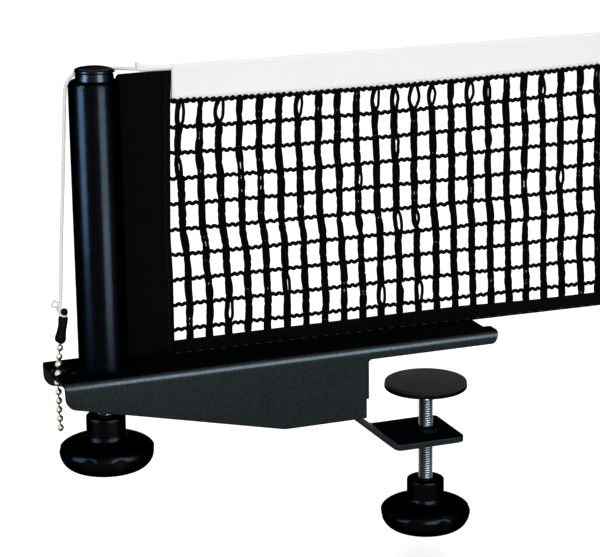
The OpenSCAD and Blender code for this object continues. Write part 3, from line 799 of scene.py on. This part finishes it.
def share_along(x):
    """0 at the first upright and 1 at the end of the threads' sag, about 22 meshes on."""
    return (x - first_strand_x) / sag_span


def thread_z(k, x):
    """Height of level thread k, which sags a little between the panels."""
    u = share_along(x)
    sag = (1.75 - 0.22 * k) * 4 * u * (1 - u)
    return first_thread_z - mesh_h * k + (0.1 - 0.18 * k) * u - sag


def hem_top_z(x):
    """Height of the hem's upper edge, where the uprights end."""
    return float(np.interp(x, (-134, 20, 42, 62, 111), (15.6, 15.5, 14.7, 14.1, 13.9)))


def strand_x(i, k):
    """Where upright i crosses level thread k."""
    x = first_strand_x + mesh_w * i + (1.0 if i > 20 else 0.0)
    return x + shift_near[k] + (shift_far[k] - shift_near[k]) * min(i / 20, 1.1)


# Eyes: upright number, cell down from the tape, width of the gap and where its middle lies
eyes = {
    (0, 0): (1.3, 0.5), (1, 0): (0.9, 0.4), (2, 0): (1.7, 0.0), (3, 0): (0.6, 0.5),
    (6, 0): (1.6, 0.1), (10, 0): (1.2, 0.0), (11, 0): (1.7, 0.2), (12, 0): (2.4, 0.0),
    (13, 0): (1.8, 0.0), (14, 0): (1.2, 0.3), (15, 0): (1.9, 0.0), (16, 0): (1.3, 0.0),
    (19, 0): (1.0, 0.3), (0, 2): (1.5, 0.1), (11, 2): (1.4, 0.2), (15, 2): (1.1, 0.0),
    (16, 2): (1.4, 0.0), (21, 2): (1.2, 0.0), (9, 3): (0.9, 0.3), (20, 4): (1.2, 0.0),
    (8, 5): (1.3, 0.0), (9, 5): (1.1, 0.2), (11, 5): (1.3, 0.0), (12, 5): (1.2, 0.0),
    (18, 6): (1.1, 0.2), (5, 7): (0.9, 0.2), (2, 8): (1.2, 0.0), (10, 8): (1.3, 0.0),
    (11, 8): (1.1, 0.2), (12, 8): (1.2, 0.0),
}
chance = np.random.default_rng(11)
steps = 8
strand_lines, strand_eyes, strand_tight = [], [], []
for i in range(strands):
    line, gaps, tight = [], [], []
    for k in range(rows_down):
        top_x, foot_x = strand_x(i, k), strand_x(i, k + 1)
        top_z, foot_z = thread_z(k, top_x), thread_z(k + 1, foot_x)
        if k + 1 == rows_down:
            foot_z = hem_top_z(foot_x) - 1.0
        if k == 0:
            line.append((top_x, 0.0, top_z + 1.6))
            gaps.append(0.0)
            tight.append(0.8)
        bow, out = chance.uniform(-0.45, 0.45), chance.uniform(-0.35, 0.35)
        width, lean = eyes.get((i, k), (chance.uniform(0.0, 0.16), 0.0))
        for s in range(steps):
            t = s / steps
            swell = math.sin(math.pi * t)
            ease = 0.55 * t * t * (3 - 2 * t) + 0.45 * t
            x = top_x + (foot_x - top_x) * ease + (bow + lean) * swell
            line.append((x, out * swell, top_z + (foot_z - top_z) * t))
            gaps.append(width * swell**0.7)
            tight.append(0.92 + 0.1 * swell)
    line.append((foot_x, 0.0, foot_z))
    gaps.append(0.0)
    tight.append(0.9)
    strand_lines.append(line)
    strand_eyes.append(gaps)
    strand_tight.append(tight)

twine_sizes = ("Yarn radius", "Lay radius", "Lay length", "Flatness")
twine_sizes += ("Wave height", "Wave length", "Step")
twine, given = geometry_tree("loose_twine", twine_sizes, ("Yarns", "Sides", "Seed"))
curve = add(twine, "GeometryNodeMeshToCurve", given["Geometry"])
resampling = {"Curve": curve, "Length": given["Step"]}
curve = add(twine, "GeometryNodeResampleCurve", resampling, mode="LENGTH")
curve = marked(twine, curve, "strand", add(twine, "GeometryNodeInputIndex"), "INT", "CURVE")
copying = {"Geometry": curve, "Amount": given["Yarns"]}
copied = {"out": ("Geometry", "Duplicate Index"), "domain": "SPLINE"}
copies, yarn = add(twine, "GeometryNodeDuplicateElements", copying, **copied)
strand, gap, tight = (
    add(twine, "GeometryNodeInputNamedAttribute", {"Name": name}, data_type=kind, out="Attribute")
    for name, kind in (("strand", "INT"), ("gap", "FLOAT"), ("tight", "FLOAT"))
)
along = add(twine, "GeometryNodeSplineParameter", out="Length")
draw = {2: 0.0, 3: math.tau, 7: strand, 8: given["Seed"]}
start = add(twine, "FunctionNodeRandomValue", draw, out=1, data_type="FLOAT")
uneven = noise(twine, 130.0, 1.0, add(twine, "GeometryNodeInputPosition"))
turn = along / given["Lay length"] * math.tau + uneven * 5.0
angle = turn + yarn * math.tau / given["Yarns"] + start
closed_up = 1.0 - maths("MINIMUM", gap * 400.0, 0.75)
reach = given["Lay radius"] * tight * closed_up
# One yarn passes an eye on one side, and the others on its other side.
side = maths("LESS_THAN", yarn, given["Yarns"] * 0.2) * 2.0 - 1.0
aside = maths("COSINE", angle) * reach + gap * side
deep = maths("SINE", angle) * reach * given["Flatness"]
wave = along / given["Wave length"] * math.tau + (start + uneven * 3.0)
rise = maths("SINE", wave) * given["Wave height"]
is_level = maths("GREATER_THAN", given["Wave height"], 0.00001)
up = rise + aside * is_level
aside = aside * (1.0 - is_level)
offset = add(twine, "ShaderNodeCombineXYZ", aside, deep, up)
curve = add(twine, "GeometryNodeSetPosition", {"Geometry": copies, "Offset": offset})
close_tree(twine, tubes(twine, curve, given["Sides"], given["Yarn radius"]), given)

black_twine = finish("black_twine", (0.002, 0.002, 0.002), 0.75, specular=0.015)
tree = black_twine.node_tree
fibre = noise(tree, 1800, 3.0)
relief(black_twine, fibre, 0.12, 0.8)
set_on(black_twine, Base_Color=blended(fibre, (0.0004, 0.0004, 0.0005), (0.004, 0.0039, 0.0037)))

strand_gaps = [[g * mm for g in gaps] for gaps in strand_eyes]
layout = layout_lines("uprights_layout", strand_lines, gap=strand_gaps, tight=strand_tight)
sizes = {"Yarns": 4, "Yarn radius": 0.00082, "Lay radius": 0.00129, "Lay length": 0.052}
sizes |= {"Flatness": 0.55, "Wave height": 0.0, "Wave length": 0.01, "Step": 0.0013}
uprights = grown("net_uprights", layout, twine, black_twine, **sizes, Sides=6, Seed=5)
fitted(uprights, "post", "net_mesh")

level_step = 3.4
xs = np.arange(panel_edge(136) + 0.2, far_x - 0.2, level_step)
level_lines = [[(x, -0.5, thread_z(0, x) + 0.75) for x in xs]]
for k in range(rows_down):
    xs = np.arange(panel_edge(thread_z(k, -133)) + 0.2, far_x - 0.2, level_step)
    level_lines.append([(x, 0.25 * math.sin(x * 0.62 + k), thread_z(k, x)) for x in xs])
no_gap, drawn_tight = ([[v] * len(line) for line in level_lines] for v in (0.0, 1.0))
layout = layout_lines("threads_layout", level_lines, gap=no_gap, tight=drawn_tight)
sizes = {"Yarns": 2, "Yarn radius": 0.00092, "Lay radius": 0.00012, "Lay length": 0.0034}
sizes |= {"Flatness": 1.0, "Wave height": 0.00046, "Wave length": 0.0033, "Step": 0.0006}
threads = grown("net_threads", layout, twine, black_twine, **sizes, Sides=6, Seed=9)
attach(threads, "post")

# ---- Tape -----------------------------------------------------------------------------------
# White cotton tape, folded lengthways over the head line and sewn along its lower edge to the
# netting's top thread. Its end runs on as a narrow tail along the near panel's upper edge.

white_cloth = woven("white_tape", (0.80, 0.80, 0.795), (0.93, 0.93, 0.925), 0.45, 0.05, 0.05)
fold_r, tape_cloth = 1.15, 0.4
tape_seed, tape_rumple = 2.0, 0.10


def tape_foot(x):
    """Height of the tape's lower edge, which follows the top thread's sag."""
    u = min(max(share_along(x), 0), 1)
    return 135.8 - 1.6 * 4 * u * (1 - u) + 0.4 * u


def tape_top(x):
    """Height of the tape's fold, which rises at its near end where the line leaves it."""
    places = (-150.8, -149.6, -147.5, -144, -137.5, -133.5, -60, -20, 111)
    heights = (155.4, 155.1, 154.2, 153.55, 153.05, 152.95, 152.65, 152.5, 152.55)
    return float(np.interp(x, places, heights))


def tail_foot(x):
    return float(np.interp(x, (-150.6, -149, -146, -140), (152.6, 152.0, 151.5, 151.2)))


def fold_rows(xs, foot, half_low, half_mid, seed, size):
    """Rows along a tape folded over at its top, each from its front foot to its back foot."""
    rows = []
    for x in xs:
        z0, centre = foot(x), tape_top(x) - fold_r
        front, back = [], []
        for t in np.linspace(0, 1, 9):
            z = z0 + (centre - z0) * t
            half = half_low + (half_mid - half_low) * math.sin(math.pi * t / 2) ** 0.7
            half += (fold_r - half_mid) * t**5
            bend = rumple(x * 0.5, z * 1.5, seed, size)
            front.append((x, -half + bend, z))
            back.append((x, half + bend, z))
        fold = [(x, -y, z) for y, z in arc(0.0, centre, fold_r, fold_r, 0, 180, 13)[1:-1]]
        rows.append(front + fold + back[::-1])
    return rows


tape_xs, tail_xs = np.linspace(panel_x + 0.15, far_x - 0.1, 123), np.linspace(-150.6, -132.9, 16)
tape = cloth_piece(
    "net_tape_cloth",
    white_cloth,
    tape_cloth,
    cloth(fold_rows(tape_xs, tape_foot, 0.95, 0.78, tape_seed, tape_rumple)),
    cloth(fold_rows(tail_xs, tail_foot, 0.85, 0.8, 3.0, 0.0)),
)
fitted(tape, "post", "net_tape")

# ---- Hem ------------------------------------------------------------------------------------
# Black cotton tape, folded round the netting's lower edge and sewn through with a lock stitch.
# It sinks a little towards the net's far end.

hem_cloth, hem_half, hem_turn = 0.5, 1.0, 1.1


def hem_low(x):
    return float(np.interp(x, (-136, 32, 98, 111), (8.75, 7.65, 7.15, 7.1)))


def hem_bend(x):
    return rumple(x * 0.8, 10, 5.0, 0.12)


hem_rows = []
for x in np.arange(panel_edge(net_bottom) + 0.2, far_x - 0.1, 2.0):
    turn_z, bend = hem_low(x) + hem_turn, hem_bend(x)
    front, back = [], []
    for t in np.linspace(0, 1, 6):
        half, z = hem_half + 0.1 * math.sin(math.pi * t), turn_z + (hem_top_z(x) - turn_z) * t
        front.append((x, -half + bend, z))
        back.append((x, half + bend, z))
    fold = arc(0.0, turn_z, hem_half, -hem_turn, 0, 180, 11)[1:-1]
    hem_rows.append(front[::-1] + [(x, -y + bend, z) for y, z in fold] + back)
hem = cloth_piece("net_hem_cloth", black_cloth, hem_cloth, cloth(hem_rows))
fitted(hem, "post", "net_hem")

# ---- Seams ----------------------------------------------------------------------------------
# Lock stitches: white thread along the tape's lower edge, charcoal thread along the hem's fold and
# black thread down the near panel's edge. Each stitch is a short lens pulled into the cloth.

seam, given = geometry_tree("stitch_row", ("Stitch", "Spacing", "Thread radius"))
curve = add(seam, "GeometryNodeMeshToCurve", given["Geometry"])
spacing = {"Curve": curve, "Length": given["Spacing"]}
spaced = {"out": ("Points", "Rotation"), "mode": "LENGTH"}
spots, lie = add(seam, "GeometryNodeCurveToPoints", spacing, **spaced)
lens = add(seam, "GeometryNodeMeshUVSphere", {"Segments": 8, "Rings": 6, "Radius": 1.0})
thick, half_stitch = given["Thread radius"], given["Stitch"] * 0.5
lens_size = add(seam, "ShaderNodeCombineXYZ", thick, thick, half_stitch)
lens = add(seam, "GeometryNodeTransform", {"Geometry": lens, "Scale": lens_size})
sewing = {"Points": spots, "Instance": lens, "Rotation": lie}
close_tree(seam, add(seam, "GeometryNodeInstanceOnPoints", sewing), given)


def sewing_thread(name, colour, roughness, gloss, dark, light):
    """Twisted thread, with its colour between a dark and a light one."""
    material = finish(name, colour, roughness, specular=gloss)
    twist = noise(material.node_tree, 2600)
    relief(material, twist, 0.05, 0.7)
    set_on(material, Base_Color=blended(twist, dark, light))
    return material


white_thread, charcoal_thread, black_thread = (
    sewing_thread(*row)
    for row in (
        ("white_thread", (0.8, 0.8, 0.76), 0.7, 0.3, (0.62, 0.61, 0.56), (0.86, 0.86, 0.83)),
        ("charcoal_thread", [0.03] * 3, 0.7, 0.1, [0.014] * 3, (0.06, 0.06, 0.058)),
        ("black_thread", [0.004] * 3, 0.6, 0.1, [0.001] * 3, [0.008] * 3),
    )
)


def sew(name, front, thread_finish, stitch, spacing, thick):
    """A row of stitches along the net's front, given by (x, half width, bend, z), and its back."""
    lines = [[(x, side * half + bend, z) for x, half, bend, z in front] for side in (-1, 1)]
    layout = layout_lines(name + "_layout", lines)
    sizes = {"Stitch": stitch * mm, "Spacing": spacing * mm, "Thread radius": thick * mm}
    made = grown(name, layout, seam, thread_finish, **sizes)
    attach(made, "post")


xs = np.arange(-134.5, far_x - 2.4, 2.0)
line = [(x, 1.2, hem_bend(x), hem_low(x) + 0.95) for x in xs]
sew("hem_stitches", line, charcoal_thread, 2.4, 6.0, 0.2)
line = []
for x in np.arange(-132.5, far_x - 2.4, 2.0):
    bend = rumple(x * 0.5, tape_foot(x) * 1.5, tape_seed, tape_rumple)
    line.append((x, 1.08, bend, tape_foot(x) + 1.7))
sew("tape_stitches", line, white_thread, 2.4, 3.1, 0.2)
line = [(panel_edge(z) - 2.6, 1.12, 0.0, z) for z in np.arange(11.5, 149, 3.0)]
sew("panel_stitches", line, black_thread, 2.2, 3.0, 0.28)

# ---- Screws ---------------------------------------------------------------------------------
# Zinc-plated 8 mm steel screws of 1.25 mm pitch. Each has a plain journal at its tip, which a
# spring clip holds in the post's foot or in the pressure pad.

screw_r, journal_r, ring_step, clip_room = 3.8, 3.0, 0.11, 0.8

thread, given = geometry_tree("screw_thread", ("Axis x", "Pitch", "Depth", "From z", "To z"))
place = add(thread, "GeometryNodeInputPosition")
x, y, z = add(thread, "ShaderNodeSeparateXYZ", place, out=(0, 1, 2))
x_from_axis = x - given["Axis x"]
turns = z / given["Pitch"] - maths("ARCTAN2", y, x_from_axis) / math.tau
tooth = spread_out(maths("PINGPONG", turns, 0.5) * 2.0, 0.0, 1.0, 0.12, 0.82)
past_foot = spread_out(z - given["From z"], 0.0, 1.0, 0.0, 0.0012)
before_top = spread_out(given["To z"] - z, 0.0, 1.0, 0.0, 0.0012)
cut = past_foot * before_top * tooth * given["Depth"]
outward = add(thread, "ShaderNodeCombineXYZ", x_from_axis, y, 0.0)
outward = add(thread, "ShaderNodeVectorMath", outward, operation="NORMALIZE")
inward = {"Vector": outward, "Scale": cut * -1.0}
inward = add(thread, "ShaderNodeVectorMath", inward, operation="SCALE")
grooved = marked(thread, given["Geometry"], "groove", cut / given["Depth"])
turned = add(thread, "GeometryNodeSetPosition", {"Geometry": grooved, "Offset": inward})
close_tree(thread, turned, given)

screw_steel = finish("screw_steel", (0.62, 0.63, 0.63), 0.3, metallic=1.0)
tree = screw_steel.node_tree
groove = add(tree, "ShaderNodeAttribute", attribute_name="groove", out="Fac")
# Painted shade in the thread's grooves, with random dirt: the colour goes near black and rougher
# where a groove is deepest.
groove_shade_and_dirt = groove * 0.9 + spread_out(noise(tree, 260, 5.0), -0.3, 0.3)
relief(screw_steel, noise(tree, 2600), 0.02, 0.5)
set_on(
    screw_steel,
    Roughness=spread_out(groove_shade_and_dirt, 0.24, 0.5),
    Base_Color=blended(groove_shade_and_dirt, (0.085, 0.094, 0.096), (0.006, 0.007, 0.0075)),
)


def screw(node, x, foot, shoulder, tip, groove, body):
    """A threaded bar from foot to shoulder, and above it a journal with a groove for its clip."""
    rings = int((shoulder - foot - 0.8) / ring_step)
    profile = [(0.4, foot), (screw_r - 0.5, foot), (screw_r, foot + 0.5)]
    profile += [(screw_r, z) for z in np.linspace(foot + 0.6, shoulder - 0.3, rings)]
    profile += [(screw_r - 0.3, shoulder), (journal_r, shoulder), (journal_r, groove)]
    profile += [(journal_r - 0.6, groove), (journal_r - 0.6, groove + clip_room)]
    profile += [(journal_r, groove + clip_room), (journal_r, tip - 0.4), (journal_r - 0.4, tip)]
    profile.append((0.4, tip))
    blank = spun(node + "_thread_blank", x, profile, 40, screw_steel)
    sizes = {"Axis x": x * mm, "Pitch": 0.00125, "Depth": 0.00068}
    sizes |= {"From z": foot * mm, "To z": (shoulder - 1.0) * mm}
    made = grown(node + "_thread", blank, thread, screw_steel, **sizes)
    return fitted(made, body, node)


post_x = -171.7
height_screw = screw("height_screw", post_x, -33.4, -2.6, 8.9, 6.6, "height_drive")
clamp_screw = screw("clamp_screw", 0.0, -91.4, -30.1, -24.1, -25.9, "clamp_drive")

# ---- Knobs ----------------------------------------------------------------------------------
# Mushroom hand knobs, moulded in glossy black over a steel insert, their rim hollowed for the
# fingers between ten soft lobes. The insert's near-black finish is painted shade.

knob_r, knob_h, hub_r, hub_h = 23.5, 14.9, 9.75, 11.7
gloss_black = moulded("gloss_black", (0.0015, 0.0016, 0.0017), 0.22, 0.02)

hollows, given = geometry_tree(
    "finger_hollows", ("Axis x", "Rim radius", "Cutter radius", "Depth", "Softness"), ("Number",)
)
place = add(hollows, "GeometryNodeInputPosition")
x, y, z = add(hollows, "ShaderNodeSeparateXYZ", place, out=(0, 1, 2))
x_from_axis, cutter_r = x - given["Axis x"], given["Cutter radius"]
radius = maths("SQRT", x_from_axis * x_from_axis + y * y)
step_angle = math.tau / given["Number"]
angle = maths("ARCTAN2", y, x_from_axis)
off_middle = maths("FLOORED_MODULO", angle, step_angle) - step_angle * 0.5
cutter_from_axis = given["Rim radius"] - given["Depth"] + cutter_r
across = cutter_from_axis * maths("SINE", off_middle)
across = maths("MINIMUM", maths("ABSOLUTE", across), cutter_r)
chord = maths("SQRT", cutter_r * cutter_r - across * across)
wall = cutter_from_axis * maths("COSINE", off_middle) - chord
held_in = maths("SMOOTH_MIN", radius, wall, given["Softness"])
ratio = held_in / maths("MAXIMUM", radius, 0.0001)
moved = given["Axis x"] + x_from_axis * ratio
moved = add(hollows, "ShaderNodeCombineXYZ", moved, y * ratio, z)
moved = {"Geometry": given["Geometry"], "Position": moved}
close_tree(hollows, add(hollows, "GeometryNodeSetPosition", moved), given)


def knob(node, x, top, body):
    """A knob under its hub's top, hollowed underneath and bored for its insert."""
    body_top = top - hub_h
    rim_z, base_z = body_top - 0.4 * knob_h, body_top - knob_h
    base_r, neck_r, fillet, edge, bore_r, hollow_z = 16.2, hub_r + 0.8, 2.8, 0.9, 5.62, base_z + 1.2
    profile = [(r, hollow_z) for r in (0.4, 4, 8, 11.4, 12.6)]
    profile += [(13.4, base_z + 0.9), (14.0, base_z + 0.2), (14.4, base_z), (15.4, base_z)]
    profile += arc(base_r, rim_z, knob_r - base_r, rim_z - base_z, -90, 0, 20)
    profile += arc(neck_r, rim_z, knob_r - neck_r, body_top - 0.6 - rim_z, 4, 80, 18)
    fillet_z = profile[-1][1] + fillet
    profile += arc(hub_r + fillet, fillet_z, fillet, fillet, 256, 180, 9)
    profile += [(hub_r, body_top + 3.6), (hub_r, top - 6), (hub_r, top - 3), (hub_r, top - 1.1)]
    profile += arc(hub_r - edge, top - edge, edge, edge, 20, 90, 5)
    profile += [(7.2, top), (5.75, top), (bore_r, top - 0.12), (bore_r, top - 8)]
    blank = spun(node + "_grip_blank", x, profile, 120, gloss_black)
    sizes = {"Axis x": x * mm, "Number": 10, "Rim radius": knob_r * mm}
    sizes |= {"Cutter radius": 0.007, "Depth": 0.0009, "Softness": 0.0004}
    made = grown(node + "_grip", blank, hollows, gloss_black, **sizes)
    return fitted(made, body, node)


height_knob = knob("height_knob", post_x, -17.4, "height_drive")
clamp_knob = knob("clamp_knob", 0.0, -75.4, "clamp_drive")

# ---- Pressure pad ---------------------------------------------------------------------------
# A black moulded disc that turns on the clamp screw's tip. Its upper face has the same rubber
# as the jaw.

dress(matte_black, "pad_disc")

# ---- Studio ---------------------------------------------------------------------------------
# A plain white floor, clear of the clamp knob at its lowest, and white surroundings. Upright
# softboxes draw the highlights of the post, knobs, screws and bracket; wide ones light the rest.


def seen(tree):
    """1 for what the camera sees, also in a gloss, and 0 for the light that falls on the part."""
    paths = ("Is Camera Ray", "Is Glossy Ray", "Is Transmission Ray")
    straight, glossy, passing = add(tree, "ShaderNodeLightPath", out=paths)
    return maths("MAXIMUM", maths("MAXIMUM", straight, glossy), passing)


white = finish("studio_floor", (0.8, 0.8, 0.8), 0.9)
white.node_tree.nodes["Principled BSDF"].inputs["Emission Color"].default_value = (1, 1, 1, 1)
set_on(white, Emission_Strength=seen(white.node_tree) * 0.6)

floor_z, half_floor = -119.0, 7000.0
corners = ((-1, -1), (1, -1), (1, 1), (-1, 1))
corners = [(x * half_floor, y * half_floor, floor_z) for x, y in corners]
piece("studio_floor", corners, [(0, 1, 2, 3)], None, white, smooth=False)

world = bpy.data.worlds.new("studio")
scene.world = world
world.use_nodes = True
tree = world.node_tree
sky = blended(seen(tree), (0.55, 0.56, 0.58), (1, 1, 1))
tree.links.new(sky.socket, tree.nodes["Background"].inputs["Color"])


def softbox(name, place, aim, wide, tall, radiance, colour=(1, 1, 1)):
    """An area lamp of a given brightness, which doesn't show to the camera."""
    lamp = bpy.data.lights.new(name, "AREA")
    lamp.shape = "RECTANGLE"
    lamp.size, lamp.size_y = wide, tall
    lamp.energy = radiance * wide * tall * math.pi
    lamp.color = colour
    made = placed(name, lamp)
    way = (Vector(aim) - Vector(place)).to_track_quat("-Z", "Y")
    made.matrix_world = Matrix.Translation(place) @ way.to_matrix().to_4x4()
    made.visible_camera = False
    return made


def gloss_only(lamp, *lit):
    """Keeps a lamp to the highlights of the given pieces."""
    lamp.visible_diffuse = False
    group = bpy.data.collections.new(lamp.name + "_pieces")
    for each in lit:
        group.objects.link(each)
    lamp.light_linking.receiver_collection = group


def strip(name, bearing, low, high, wide, radiance, colour, *lit):
    """An upright lamp round the post's axis, at a bearing in degrees, for some pieces' gloss."""
    a, middle, axis_x, away = math.radians(bearing), (low + high) / 2, -0.1717, 0.42
    place = (axis_x + away * math.cos(a), away * math.sin(a), middle)
    lamp = softbox(name, place, (axis_x, 0.0, middle), wide, high - low, radiance, colour)
    gloss_only(lamp, *lit)


left_blue, right_blue, pale_blue = (0.60, 1.0, 1.40), (0.85, 1.05, 1.15), (0.9, 1.0, 1.08)
post_parts = (nodes["post_tube"], nodes["post_collar"], cap)
knobs = (height_knob, clamp_knob)
strip("left_strip", 193.5, -0.03, 0.5, 0.19, 88, left_blue, *post_parts)
strip("right_strip", 289, -0.085, 0.5, 0.21, 62, right_blue, *post_parts)
strip("left_low_strip", 188.5, -0.1, 0.5, 0.36, 30, left_blue, *knobs)
strip("right_low_strip", 294.4, -0.1, 0.5, 0.40, 28, right_blue, *knobs)
strip("back_left_strip", 13.5, -0.06, 0.5, 0.2, 60, right_blue, *post_parts, *knobs)
strip("back_right_strip", 109, -0.06, 0.5, 0.2, 60, right_blue, *post_parts, *knobs)
strip("screw_strip", 296, -0.16, 0.3, 0.5, 44, right_blue, height_screw, clamp_screw)
for name, x, y, z, tall in (
    ("bracket_strip", 0.16, -0.385, 0.22, 0.36),
    ("back_bracket_strip", 0.0, 0.385, 0.24, 0.4),
):
    lamp = softbox(name, (x, y, z), (x, 0.0, z), 0.74, tall, 18, pale_blue)
    gloss_only(lamp, bracket, lower_jaw, nodes["jaw_nut"])
softbox("top_softbox", (0.1, -0.7, 1.1), (0.0, 0.0, 0.0), 1.6, 1.2, 0.8)
softbox("front_softbox", (-0.6, -1.7, 0.5), (0.0, 0.0, 0.0), 1.6, 1.2, 1.85)
softbox("back_softbox", (-0.2, 1.0, 1.0), (0.0, 0.0, 0.0), 1.2, 0.8, 0.8)
scene.view_settings.view_transform = "Standard"
